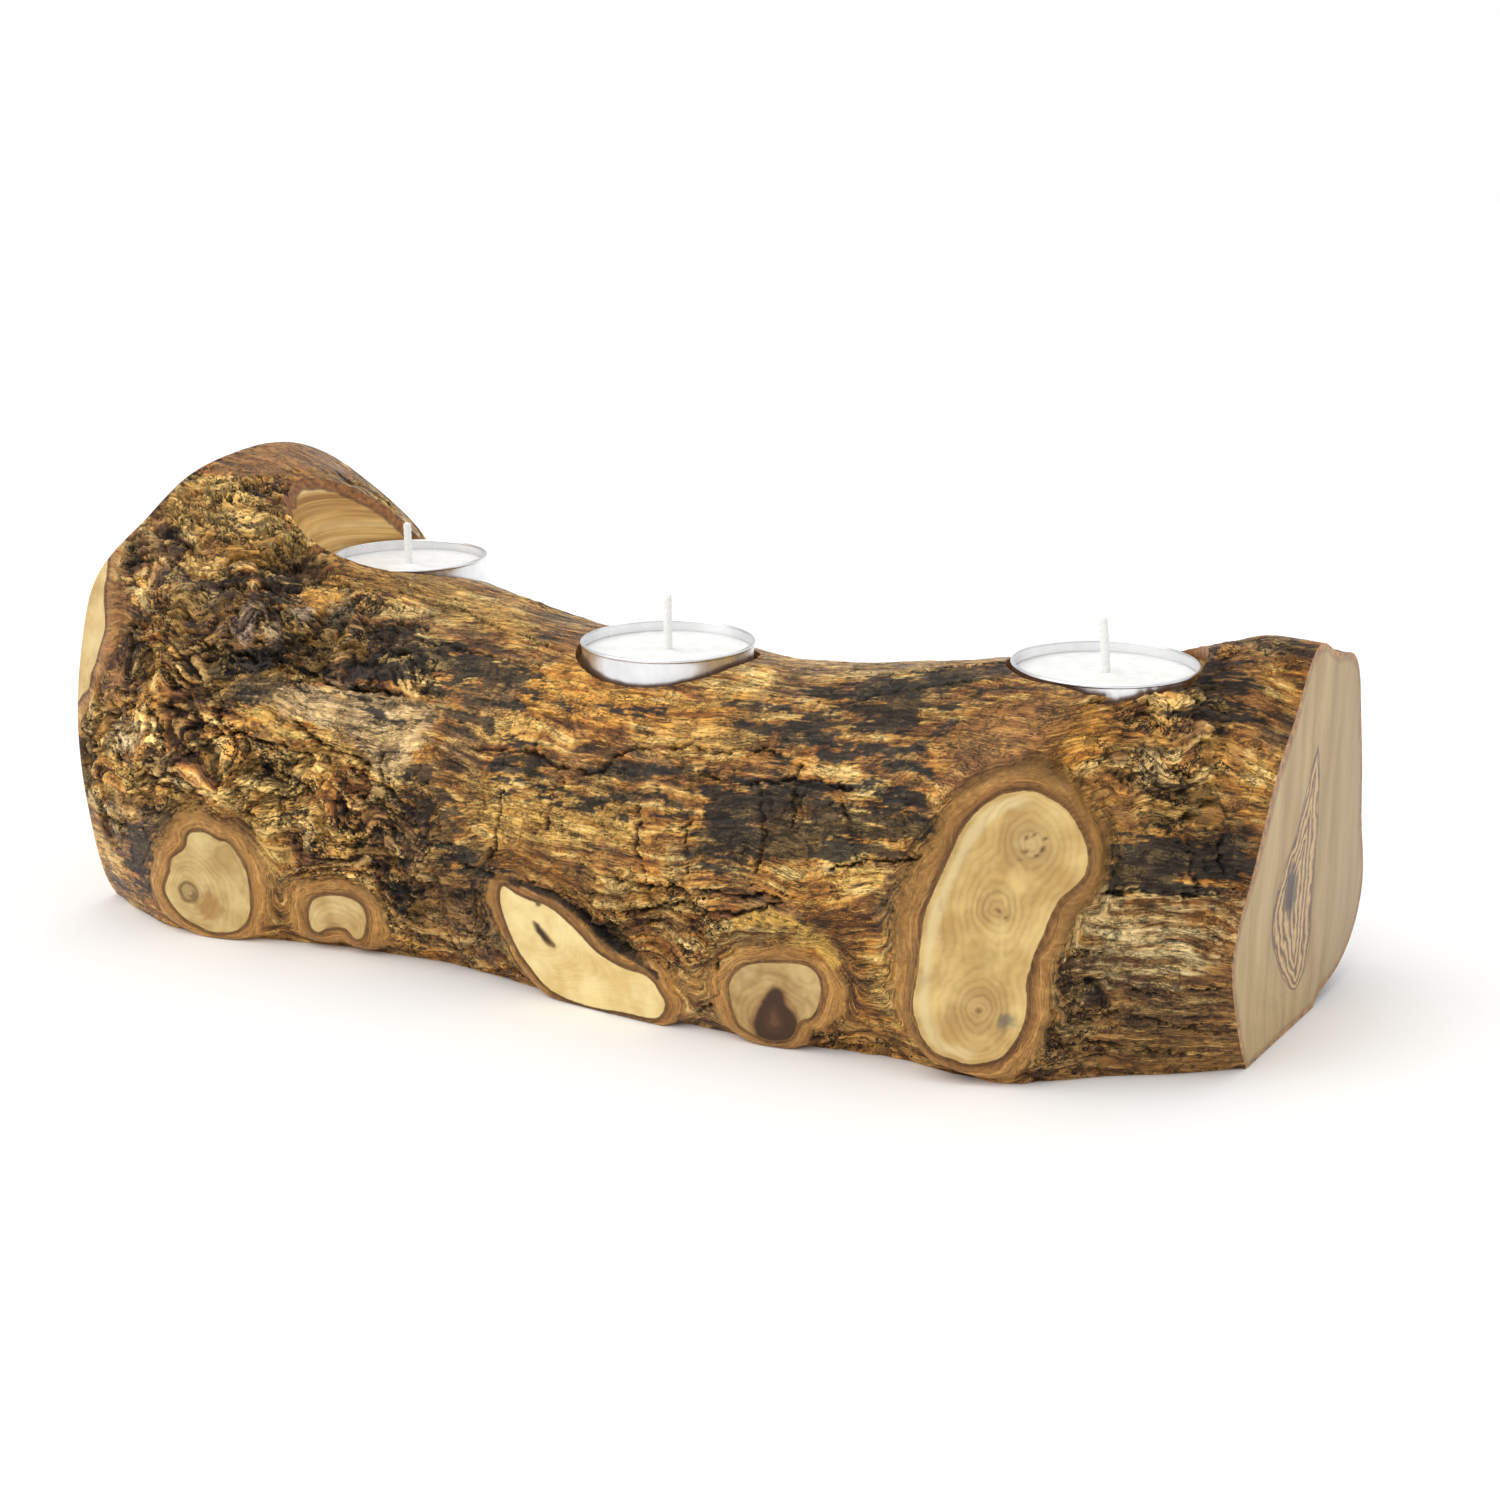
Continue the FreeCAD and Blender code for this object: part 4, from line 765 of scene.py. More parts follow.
# ----------------------------------------------------------------- log mesh
# Sawn-face rings: how far along the growth rings each point of a branch face lies.
RING_CENTRES = {
    "k1": [(-5.3, -2.4)], "k2": [(0.2, -5.0)], "k3": [(7.0, -24.0)], "k4": [(-0.5, -5.6)],
    "k5": [(6.5, 18.0), (0.3, 4.7), (-2.7, -16.6)],
}
names = list(KNOTS) + ["sliver"]
KRING = np.zeros(X.shape)
for ki, name in enumerate(names):
    sel = KID == ki
    if name == "sliver":
        KRING[sel] = -KD[sel]
        continue
    u, w = KU[sel], KV[sel]
    ds = np.array([np.hypot(u - a, (w - b) * (0.72 if name == "k5" else 1.0)) for a, b in RING_CENTRES[name]])
    d = -2.0 * np.log(np.exp(-ds / 2.0).sum(0))
    inner = np.maximum(-KD[sel], 0)
    KRING[sel] = mix(d, 9 - inner, 0.8 * np.exp(-inner / 2.5))

KCOL = {
    "k1": (srgb(224, 198, 136), srgb(190, 156, 94)), "k2": (srgb(230, 204, 142), srgb(198, 160, 98)),
    "k3": (srgb(248, 226, 162), srgb(226, 192, 122)), "k4": (srgb(214, 186, 126), srgb(172, 134, 80)),
    "k5": (srgb(228, 196, 128), srgb(196, 158, 94)), "sliver": (srgb(226, 200, 140), srgb(196, 160, 100)),
}
blot = nz(PX / 8, PY / 8, PZ / 8, 4, 91, 0.6)
SAWN = np.zeros(COL.shape) + srgb(210, 180, 120)
for ki, name in enumerate(names):
    a, b = KCOL[name]
    w = smooth(-0.7, 0.7, blot)[..., None]
    SAWN = np.where((KID == ki)[..., None], a * (1 - w) + b * w, SAWN)


def spot(name, cu, cv, r, color, amount, soft=1.0, squash=1.0, lean=0.0):
    """A stain or small knot on a sawn branch face."""
    global SAWN
    ki = names.index(name)
    du, dv = KU - cu, KV - cv
    a, b = du * math.cos(lean) + dv * math.sin(lean), -du * math.sin(lean) + dv * math.cos(lean)
    d = np.hypot(a, b * squash) + 0.9 * n_fine * soft
    m = (1 - smooth(r - soft, r + soft * 0.3, d)) * amount * (KID == ki)
    SAWN = mix(SAWN, color, m)


def stain(name, outline, color, amount, soft=0.8):
    """A dark shape with its own outline on a sawn branch face."""
    global SAWN
    sd = poly_sd(KU[KID == names.index(name)], KV[KID == names.index(name)], catmull(outline, 4))
    m = np.zeros(X.shape)
    m[KID == names.index(name)] = 1 - smooth(-0.5 * soft, 0.5 * soft, sd + 0.5 * n_fine[KID == names.index(name)])
    SAWN = mix(SAWN, color, m * amount)


spot("k1", -0.2, -5.6, 4.2, srgb(166, 118, 60), 0.7, 2.2)
spot("k1", -5.3, -2.4, 3.0, srgb(92, 66, 36), 0.8, 0.7)
spot("k1", -5.3, -2.4, 2.2, srgb(186, 158, 104), 0.9, 0.7)
spot("k1", -4.6, -2.9, 1.3, srgb(112, 80, 44), 0.8, 0.6)
spot("k1", -5.0, -2.6, 0.8, srgb(196, 170, 118), 0.8, 0.5)
stain("k2", [(-3.6, -3.5), (-1.7, -1.6), (0.4, -1.7), (2.2, -3.2), (3.0, -6.2), (-2.9, -7.0)], srgb(150, 104, 56), 0.6, 1.2)
stain("k2", [(-2.2, -4.2), (-0.5, -3.0), (1.4, -3.8), (2.2, -6.5), (-2.2, -7.0)], srgb(58, 34, 20), 0.95, 0.7)
stain("k3", [(-11.0, 5.8), (-9.7, 5.4), (-8.1, 4.0), (-5.5, 1.2), (-6.4, 0.3), (-8.2, 0.9), (-9.8, 2.4), (-11.0, 4.1)], srgb(112, 76, 40), 0.9, 0.7)
stain("k3", [(-10.4, 5.3), (-9.4, 4.7), (-8.2, 3.2), (-6.4, 1.2), (-8.4, 1.7), (-10.0, 3.2)], srgb(52, 32, 18), 0.95, 0.5)
spot("k3", -9.1, 10.5, 0.9, srgb(84, 54, 28), 0.9, 0.4)
spot("k4", 0.0, -5.6, 7.6, srgb(186, 150, 92), 0.5, 2.2)
stain("k4", [(-0.5, 2.9), (-3.2, -0.6), (-5.2, -4.2), (-6.2, -8.1), (-4.4, -11.3), (-0.5, -12.1), (3.2, -10.7), (5.3, -6.9), (4.8, -3.7), (2.8, -1.0), (2.2, 1.9)], srgb(128, 88, 50), 0.7, 1.4)
stain("k4", [(-0.5, 2.2), (-2.7, -0.8), (-4.4, -4.2), (-5.2, -8.0), (-3.8, -10.5), (-0.5, -11.3), (2.6, -9.9), (4.4, -6.9), (3.9, -3.7), (2.1, -1.3), (1.5, 1.2)], srgb(58, 38, 26), 0.96, 0.8)
stain("k4", [(-0.7, -1.5), (-2.6, -5.6), (-2.6, -7.9), (-0.4, -8.6), (1.6, -6.7), (0.6, -4.0)], srgb(84, 56, 38), 0.7, 1.0)
stain("k4", [(-0.9, -3.2), (-1.6, -6.2), (-0.6, -7.2), (0.4, -5.6)], srgb(118, 82, 56), 0.6, 0.5)
spot("k5", 6.5, 18.0, 7.0, srgb(172, 134, 80), 0.55, 3.5)
spot("k5", 6.2, 18.2, 3.2, srgb(208, 180, 124), 0.6, 1.4)
for a, b, r in ((5.4, 19.4, 0.55), (7.0, 20.0, 0.5), (8.6, 17.2, 0.7), (5.2, 16.6, 0.6), (7.4, 15.9, 0.5), (4.3, 14.9, 0.4), (8.9, 19.4, 0.45)):
    spot("k5", a, b, r, srgb(104, 68, 38), 0.9, 0.35)
spot("k5", 0.3, 4.7, 3.4, srgb(176, 136, 82), 0.6, 2.0, 1.5, -0.6)
spot("k5", 0.6, 4.3, 0.8, srgb(122, 82, 46), 0.85, 0.5, 1.6, -0.6)
spot("k5", 2.0, 3.0, 0.5, srgb(116, 78, 44), 0.8, 0.4)
spot("k5", -2.7, -16.6, 6.5, srgb(180, 142, 86), 0.5, 2.5)
spot("k5", -2.7, -16.6, 0.9, srgb(134, 94, 54), 0.8, 0.6)
spot("k5", 3.0, -18.3, 2.4, srgb(112, 110, 92), 0.8, 1.6)
k5 = KID == names.index("k5")
strip = k5 * smooth(0.6, 1.4, -KD) * (1 - smooth(2.4, 3.8, -KD + 1.2 * n_mid)) * (1 - smooth(-2.0, 3.0, KU - 0.17 * KV))
SAWN = mix(SAWN, srgb(232, 210, 156), strip * 0.65)
# Growth rings show well near their centres and faintly elsewhere.
RING_AMP = np.array([0.55, 0.6, 0.22, 0.65, 0.50, 0.35])[np.clip(KID, 0, 5)]
for a, b in RING_CENTRES["k5"]:
    RING_AMP = np.maximum(RING_AMP, k5 * (1 - smooth(3.0, 10.0, np.hypot(KU - a, KV - b))) * 0.9)
RING_AMP = RING_AMP * np.clip(0.85 + 0.7 * blot, 0.25, 1.0)

# Vertices: the bark skin, then the base, then one centre point on each sawn end.
NBASE = 40
verts = [DISP.reshape(-1, 3)]
f = (np.arange(1, NBASE) / NBASE)[None, :, None]
base_rows = DISP[:, -1:, :] * (1 - f) + DISP[:, :1, :] * f       # from the back edge to the front edge
verts.append(base_rows.reshape(-1, 3))
skin_id = np.arange(NX * NS).reshape(NX, NS)
base_id = NX * NS + np.arange(NX * (NBASE - 1)).reshape(NX, NBASE - 1)
loop_id = np.concatenate([skin_id, base_id], 1)                  # closed ring at each station
NL = loop_id.shape[1]
RINGS = 10
count = NX * NS + NX * (NBASE - 1)
faces, mats, smooth_face = [], [], []
a = loop_id[:-1]
b = loop_id[1:]
a1, b1 = np.roll(a, -1, 1), np.roll(b, -1, 1)
quads = np.stack([a, b, b1, a1], -1)                             # NX-1, NL, 4
col_is_base = np.arange(NL) >= NS - 1
quad_mat = np.broadcast_to(np.where(col_is_base, 2, 0), quads.shape[:2])
faces.append(quads.reshape(-1, 4))
mats.append(quad_mat.reshape(-1))
cap_pts, cap_quads, cap_tris, EDGE_E = [], [], [], []
for end, i in ((0, 0), (1, NX - 1)):
    ring = np.concatenate([DISP[i], base_rows[i]])
    cy, cz = core(gx[i])
    mid = np.array([gx[i], cy, cz])
    prev = loop_id[i]
    for k in range(1, RINGS):
        pts = ring * (1 - k / RINGS) + mid * (k / RINGS)
        ids = count + np.arange(NL)
        cap_pts.append(pts)
        EDGE_E.append(np.linalg.norm(ring - mid, axis=1) * (k / RINGS))
        count += NL
        q = np.stack([prev, np.roll(prev, -1), np.roll(ids, -1), ids], -1)
        cap_quads.append(q if end == 0 else q[:, ::-1])
        prev = ids
    cap_pts.append(mid[None])
    EDGE_E.append(np.array([np.linalg.norm(ring - mid, axis=1).mean()]))
    t = np.stack([prev, np.roll(prev, -1), np.full(NL, count)], -1)
    cap_tris.append(t if end == 0 else t[:, ::-1])
    count += 1
verts = np.vstack(verts + cap_pts)
cap_quads = np.concatenate(cap_quads)
cap_tris = np.concatenate(cap_tris)


def build(name, verts, parts, mat_ids):
    """A mesh from quads and triangles, with a material number per face."""
    me = bpy.data.meshes.new(name)
    nf = sum(len(p) for p in parts)
    loops = np.concatenate([p.reshape(-1) for p in parts]).astype(np.int32)
    totals = np.concatenate([np.full(len(p), p.shape[1]) for p in parts]).astype(np.int32)
    me.vertices.add(len(verts))
    me.vertices.foreach_set("co", np.ascontiguousarray(verts, np.float32).reshape(-1))
    me.loops.add(len(loops))
    me.loops.foreach_set("vertex_index", loops)
    me.polygons.add(nf)
    me.polygons.foreach_set("loop_start", np.concatenate([[0], np.cumsum(totals)[:-1]]).astype(np.int32))
    me.polygons.foreach_set("loop_total", totals)
    me.polygons.foreach_set("material_index", np.asarray(mat_ids, np.int32))
    me.update(calc_edges=True)
    return me


quads_all = np.concatenate([faces[0], cap_quads])
mat_all = np.concatenate([mats[0], np.full(len(cap_quads), 1), np.full(len(cap_tris), 1)])
world = (verts + SHIFT) * MM
log_mesh = build("log_carved", world, [quads_all, cap_tris], mat_all)


def put(me, name, kind, values, domain="POINT"):
    at = me.attributes.new(name, kind, domain)
    key = {"FLOAT": "value", "FLOAT_VECTOR": "vector", "FLOAT_COLOR": "color", "FLOAT2": "vector"}[kind]
    at.data.foreach_set(key, np.ascontiguousarray(values, np.float32).reshape(-1))


n_extra = len(verts) - NX * NS
def pad(values, fill=0.0):
    values = np.asarray(values).reshape(NX * NS, -1)
    return np.vstack([values, np.full((n_extra, values.shape[1]), fill)])


rgba = np.concatenate([COL, np.clip(crag * (1 - 0.6 * ZONE["gold"]), 0, 1)[..., None]], -1)
put(log_mesh, "bark", "FLOAT_COLOR", pad(rgba, 0.4))
sawn4 = np.concatenate([SAWN, RING_AMP[..., None]], -1)
put(log_mesh, "sawn", "FLOAT_COLOR", pad(sawn4, 0.4))
# The knot attribute's third value is the crevice darkening: part bark colour, part painted shade.
put(log_mesh, "knot", "FLOAT_VECTOR", pad(np.stack([np.clip(KD, -50, 50), KRING, np.clip(dark, 0, 1)], -1), 50.0))
put(log_mesh, "sheet", "FLOAT_VECTOR", pad(np.stack([X, S, H], -1), 0.0))
put(log_mesh, "mark", "FLOAT", np.ones(len(verts)))
edge_e = np.concatenate([np.zeros(NX * NS + NX * (NBASE - 1))] + EDGE_E)
put(log_mesh, "inset", "FLOAT", edge_e)
put(log_mesh, "fibre", "FLOAT_VECTOR", pad(np.stack([fib_a, fib, np.clip(char_m, 0, 1)], -1), 0.0))
log = bpy.data.objects.new("log_carved", log_mesh)
bpy.context.scene.collection.objects.link(log)
if log_mesh.validate(verbose=False):
    print("mesh was corrected")


def cutter(name, rings):
    """A closed solid through horizontal circles: (x, y, z, radius)."""
    n = 128
    t = np.arange(n) * 2 * np.pi / n
    pts = np.vstack([np.stack([x + r * np.cos(t), y + r * np.sin(t), np.full(n, z)], -1) for x, y, z, r in rings])
    k = len(rings)
    sides = np.array([[j * n + i, j * n + (i + 1) % n, (j + 1) * n + (i + 1) % n, (j + 1) * n + i]
                      for j in range(k - 1) for i in range(n)])
    me = bpy.data.meshes.new(name)
    me.from_pydata(((pts + SHIFT) * MM).tolist(), [], [tuple(q) for q in sides.tolist()]
                   + [tuple(range(n))[::-1], tuple((k - 1) * n + i for i in range(n))])
    me.update()
    ob = bpy.data.objects.new(name, me)
    bpy.context.scene.collection.objects.link(ob)
    return ob


cutters = []
for name, (x, y, rim, _w) in TEALIGHTS.items():
    floor = rim - CUP_H
    rows = [(x, y, floor - 0.02, RECESS_R - 0.35), (x, y, floor + 0.35, RECESS_R)]
    rows += [(x, y, z, RECESS_R) for z in np.arange(floor + 2, 120, 1.5)]
    cutters.append(cutter("cut_" + name, rows))
lx, ly = TEALIGHTS["left"][0], TEALIGHTS["left"][1]
cutters.append(cutter("cut_flare", [(lx + FLARE_SLOPE[0] * h, ly + FLARE_SLOPE[1] * h, FLARE_Z0 + h, RECESS_R - 0.2)
                                    for h in np.arange(0, FLARE_Z1 - FLARE_Z0 + 0.1, 1.6)]))
for c in cutters:
    c.data.materials.append(None)
    bm_attr = c.data.attributes.new("cut_wall", "INT", "FACE")
    bm_attr.data.foreach_set("value", np.full(len(c.data.polygons), 3, np.int32))
    mod = log.modifiers.new(c.name, "BOOLEAN")
    mod.operation = "DIFFERENCE"
    mod.object = c
    mod.solver = "MANIFOLD"
bpy.context.view_layer.update()
dg = bpy.context.evaluated_depsgraph_get()
carved = bpy.data.meshes.new_from_object(log.evaluated_get(dg), preserve_all_data_layers=True, depsgraph=dg)
print("carved", len(carved.vertices), len(carved.polygons), [a.name for a in carved.attributes], "%.1fs" % (time.time() - T_START))
log.modifiers.clear()
log.data = carved
for c in cutters:
    bpy.data.objects.remove(c)


def get(me, name, kind, domain_len, width):
    at = me.attributes[name]
    key = {"FLOAT": "value", "FLOAT_VECTOR": "vector", "FLOAT_COLOR": "color", "INT": "value", "FLOAT2": "vector"}[kind]
    out = np.zeros(domain_len * width, np.int32 if kind == "INT" else np.float32)
    at.data.foreach_get(key, out)
    return out.reshape(-1, width) if width > 1 else out


NV, NP, NLOOP, NE = len(carved.vertices), len(carved.polygons), len(carved.loops), len(carved.edges)
co = np.zeros(NV * 3, np.float32)
carved.vertices.foreach_get("co", co)
co = co.reshape(-1, 3) / MM - SHIFT                              # back to millimetres in the measuring frame
pmat = np.zeros(NP, np.int32)
carved.polygons.foreach_get("material_index", pmat)
wall = get(carved, "cut_wall", "INT", NP, 1)
pmat[wall == 3] = 3
carved.polygons.foreach_set("material_index", pmat)
lstart, ltot = np.zeros(NP, np.int32), np.zeros(NP, np.int32)
carved.polygons.foreach_get("loop_start", lstart)
carved.polygons.foreach_get("loop_total", ltot)
lv, le = np.zeros(NLOOP, np.int32), np.zeros(NLOOP, np.int32)
carved.loops.foreach_get("vertex_index", lv)
carved.loops.foreach_get("edge_index", le)
lpoly = np.repeat(np.arange(NP), ltot)
pn = np.zeros(NP * 3, np.float32)
carved.polygons.foreach_get("normal", pn)
pn = pn.reshape(-1, 3)

# Points made by the cut take their bark values from their neighbours.
mark = get(carved, "mark", "FLOAT", NV, 1)
known = mark > 0.5
ev = np.zeros(NE * 2, np.int32)
carved.edges.foreach_get("vertices", ev)
ev = ev.reshape(-1, 2)
skin_v = np.zeros(NV, bool)
skin_v[lv[pmat[lpoly] != 3]] = True
todo = skin_v & ~known
fields = {"bark": ("FLOAT_COLOR", 4), "sawn": ("FLOAT_COLOR", 4), "knot": ("FLOAT_VECTOR", 3), "fibre": ("FLOAT_VECTOR", 3), "sheet": ("FLOAT_VECTOR", 3)}
vals = np.hstack([get(carved, k, t, NV, w) for k, (t, w) in fields.items()])
for _ in range(6):
    tot, cnt = np.zeros(vals.shape), np.zeros(NV)
    for i, j in ((0, 1), (1, 0)):
        use = todo[ev[:, i]] & known[ev[:, j]] & skin_v[ev[:, j]]
        np.add.at(tot, ev[use, i], vals[ev[use, j]])
        np.add.at(cnt, ev[use, i], 1)
    done = todo & (cnt > 0)
    vals[done] = tot[done] / cnt[done][:, None]
    known |= done
    todo &= ~done
at_col = 0
for k, (t, w) in fields.items():
    key = {"FLOAT_COLOR": "color", "FLOAT_VECTOR": "vector"}[t]
    carved.attributes[k].data.foreach_set(key, np.ascontiguousarray(vals[:, at_col:at_col + w], np.float32).reshape(-1))
    at_col += w
print("cut points left", int(todo.sum()))

# Sharp edges wherever two kinds of face meet, and round the foot of each recess.
lo = np.full(NE, 99)
hi = np.full(NE, -1)
np.minimum.at(lo, le, pmat[lpoly])
np.maximum.at(hi, le, pmat[lpoly])
zlo, zhi = np.full(NE, 9.0), np.full(NE, -9.0)
np.minimum.at(zlo, le, np.abs(pn[lpoly, 2]))
np.maximum.at(zhi, le, np.abs(pn[lpoly, 2]))
sharp = (lo != hi) | ((hi == 3) & (zhi - zlo > 0.5))
at = carved.attributes.get("sharp_edge") or carved.attributes.new("sharp_edge", "BOOLEAN", "EDGE")
at.data.foreach_set("value", sharp)
carved.polygons.foreach_set("use_smooth", np.ones(NP, bool))
if carved.attributes.get("sharp_face"):
    carved.attributes.remove(carved.attributes["sharp_face"])

# How far each point of a recess wall lies below the bark.
ev = np.zeros(NE * 2, np.int32)
carved.edges.foreach_get("vertices", ev)
ev = ev.reshape(-1, 2)
rim_v = np.unique(ev[(lo == 0) & (hi == 3)])
bore_v = np.unique(lv[pmat[lpoly] == 3])
depth = np.zeros(NV, np.float32)
for chunk in np.array_split(bore_v, 24):
    d = co[chunk][:, None, :] - co[rim_v][None]
    depth[chunk] = np.sqrt((d ** 2).sum(-1).min(1))
put(carved, "depth", "FLOAT", depth)

# Unwrapped sheet of the whole log, in millimetres on a 440 mm square.
SIDE = 440.0
sheet = get(carved, "sheet", "FLOAT_VECTOR", NV, 3)
uv = np.zeros((NLOOP, 2), np.float32)
lm = pmat[lpoly]
c = co[lv]
m = lm == 0
uv[m] = np.stack([sheet[lv[m], 0] + 139.0, sheet[lv[m], 1] + 1.0], -1)
m = lm == 2
uv[m] = np.stack([276 + (c[m, 1] + 66.0) * 0.82, 2 + c[m, 0] + 138.5], -1)
m = (lm == 1) & (c[:, 0] < 0)
uv[m] = np.stack([72 + c[m, 1], 334 + c[m, 2]], -1)
m = (lm == 1) & (c[:, 0] > 0)
uv[m] = np.stack([217 + c[m, 1], 334 + c[m, 2]], -1)
for k, (name, (x, y, rimz, _w)) in enumerate(TEALIGHTS.items()):
    pc = np.zeros((NP, 3), np.float32)
    np.add.at(pc, lpoly, c)
    pc /= ltot[:, None]
    mine = (lm == 3) & (np.abs(pc[lpoly, 0] - x) < 40)
    flat = mine & (np.abs(pn[lpoly, 2]) > 0.9)
    side = mine & ~flat
    uv[flat] = np.stack([311 + 42 * k + (c[flat, 0] - x), 419 + (c[flat, 1] - y)], -1)
    fa = np.arctan2(pc[lpoly[side], 1] - y, pc[lpoly[side], 0] - x)
    va = np.arctan2(c[side, 1] - y, c[side, 0] - x)
    va = fa + (va - fa + np.pi) % (2 * np.pi) - np.pi
    uv[side] = np.stack([293 + (va + np.pi) / (2 * np.pi) * 140, 276 + 41 * k + (c[side, 2] - (rimz - CUP_H)) * 0.98], -1)
layer = carved.uv_layers.new(name="OFBake")
layer.data.foreach_set("uv", np.clip(uv / SIDE, 0, 1).reshape(-1))
for extra in [a.name for a in carved.attributes if a.name in ("cut_wall", "mark")]:
    carved.attributes.remove(carved.attributes[extra])
print("log ready", NV, NP, "rim", len(rim_v), "bore", len(bore_v), "%.1fs" % (time.time() - T_START))
# ----------------------------------------------------------------- materials
class Nodes:
    """A material's node tree, with short ways to add and join nodes."""

    def __init__(self, name):
        self.mat = bpy.data.materials.new(name)
        self.mat.use_nodes = True
        self.nt = self.mat.node_tree
        self.bsdf = self.nt.nodes["Principled BSDF"]

    def link(self, value, socket):
        if isinstance(value, bpy.types.NodeSocket):
            self.nt.links.new(value, socket)
        elif value is not None:
            if hasattr(socket.default_value, "__len__") and not hasattr(value, "__len__"):
                value = [value] * len(socket.default_value)
            if hasattr(value, "__len__"):
                value = [float(x) for x in value]
                if len(socket.default_value) == 4 and len(value) == 3:
                    value.append(1.0)
            socket.default_value = value

    def add(self, kind, inputs=None, out=0, **props):
        n = self.nt.nodes.new(kind)
        for k, v in props.items():
            setattr(n, k, v)
        for k, v in (inputs or {}).items():
            self.link(v, n.inputs[k])
        return n.outputs[out]

    def math(self, op, a, b=None, c=None, clamp=False):
        n = self.nt.nodes.new("ShaderNodeMath")
        n.operation = op
        n.use_clamp = clamp
        for i, v in enumerate((a, b, c)):
            if v is not None:
                self.link(v, n.inputs[i])
        return n.outputs[0]

    def vmath(self, op, a, b=None, scale=None):
        n = self.nt.nodes.new("ShaderNodeVectorMath")
        n.operation = op
        self.link(a, n.inputs[0])
        if b is not None:
            self.link(b, n.inputs[1])
        if scale is not None:
            self.link(scale, n.inputs["Scale"])
        return n.outputs[0]

    def attr(self, name, out="Vector"):
        n = self.nt.nodes.new("ShaderNodeAttribute")
        n.attribute_name = name
        return n.outputs[out]

    def split(self, vec):
        n = self.nt.nodes.new("ShaderNodeSeparateXYZ")
        self.link(vec, n.inputs[0])
        return n.outputs

    def join(self, x, y, z=0.0):
        return self.add("ShaderNodeCombineXYZ", {0: x, 1: y, 2: z})

    def noise(self, vec, scale=1.0, detail=4.0, rough=0.55, distort=0.0):
        return self.add("ShaderNodeTexNoise", {"Vector": vec, "Scale": scale, "Detail": detail, "Roughness": rough, "Distortion": distort})

    def step(self, lo, hi, x, to_lo=0.0, to_hi=1.0, kind="SMOOTHSTEP"):
        n = self.nt.nodes.new("ShaderNodeMapRange")
        n.interpolation_type = kind
        for k, v in (("Value", x), ("From Min", lo), ("From Max", hi), ("To Min", to_lo), ("To Max", to_hi)):
            self.link(v, n.inputs[k])
        return n.outputs[0]

    def blend(self, fac, a, b, mode="MIX"):
        n = self.nt.nodes.new("ShaderNodeMix")
        n.data_type = "RGBA"
        n.blend_type = mode
        for i, v in ((0, fac), (6, a), (7, b)):
            self.link(v, n.inputs[i])
        return n.outputs[2]

    def scaled(self, color, factor):
        return self.vmath("SCALE", color, scale=factor)

    def ramp(self, fac, stops):
        n = self.nt.nodes.new("ShaderNodeValToRGB")
        els = n.color_ramp.elements
        while len(els) < len(stops):
            els.new(0.5)
        for e, (pos, col) in zip(els, stops):
            e.position = pos
            e.color = (*[float(x) for x in col], 1.0)
        self.link(fac, n.inputs[0])
        return n.outputs[0]

    def curve(self, x, points, lo, hi):
        """A value read off a curve through (input, output) points; input runs lo..hi."""
        n = self.nt.nodes.new("ShaderNodeFloatCurve")
        ys = [p[1] for p in points]
        ylo, yhi = min(ys), max(ys)
        cm = n.mapping.curves[0]
        while len(cm.points) < len(points):
            cm.points.new(0.5, 0.5)
        for p, (px, py) in zip(cm.points, sorted(points)):
            p.location = ((px - lo) / (hi - lo), (py - ylo) / max(yhi - ylo, 1e-6))
        n.mapping.update()
        self.link(self.step(lo, hi, x, kind="LINEAR"), n.inputs["Value"])
        n.inputs["Factor"].default_value = 1.0
        return self.step(0.0, 1.0, n.outputs[0], ylo, yhi, kind="LINEAR")

    def bump(self, height, distance, strength=1.0, normal=None):
        n = self.nt.nodes.new("ShaderNodeBump")
        self.link(height, n.inputs["Height"])
        n.inputs["Distance"].default_value = distance
        n.inputs["Strength"].default_value = strength
        if normal is not None:
            self.link(normal, n.inputs["Normal"])
        return n.outputs[0]

    def set(self, **kw):
        for k, v in kw.items():
            self.link(v, self.bsdf.inputs[k.replace("_", " ")])
        return self.mat


def millimetres(g):
    """Object coordinates in millimetres."""
    tc = g.nt.nodes.new("ShaderNodeTexCoord")
    return g.vmath("SCALE", tc.outputs["Object"], scale=1000.0)


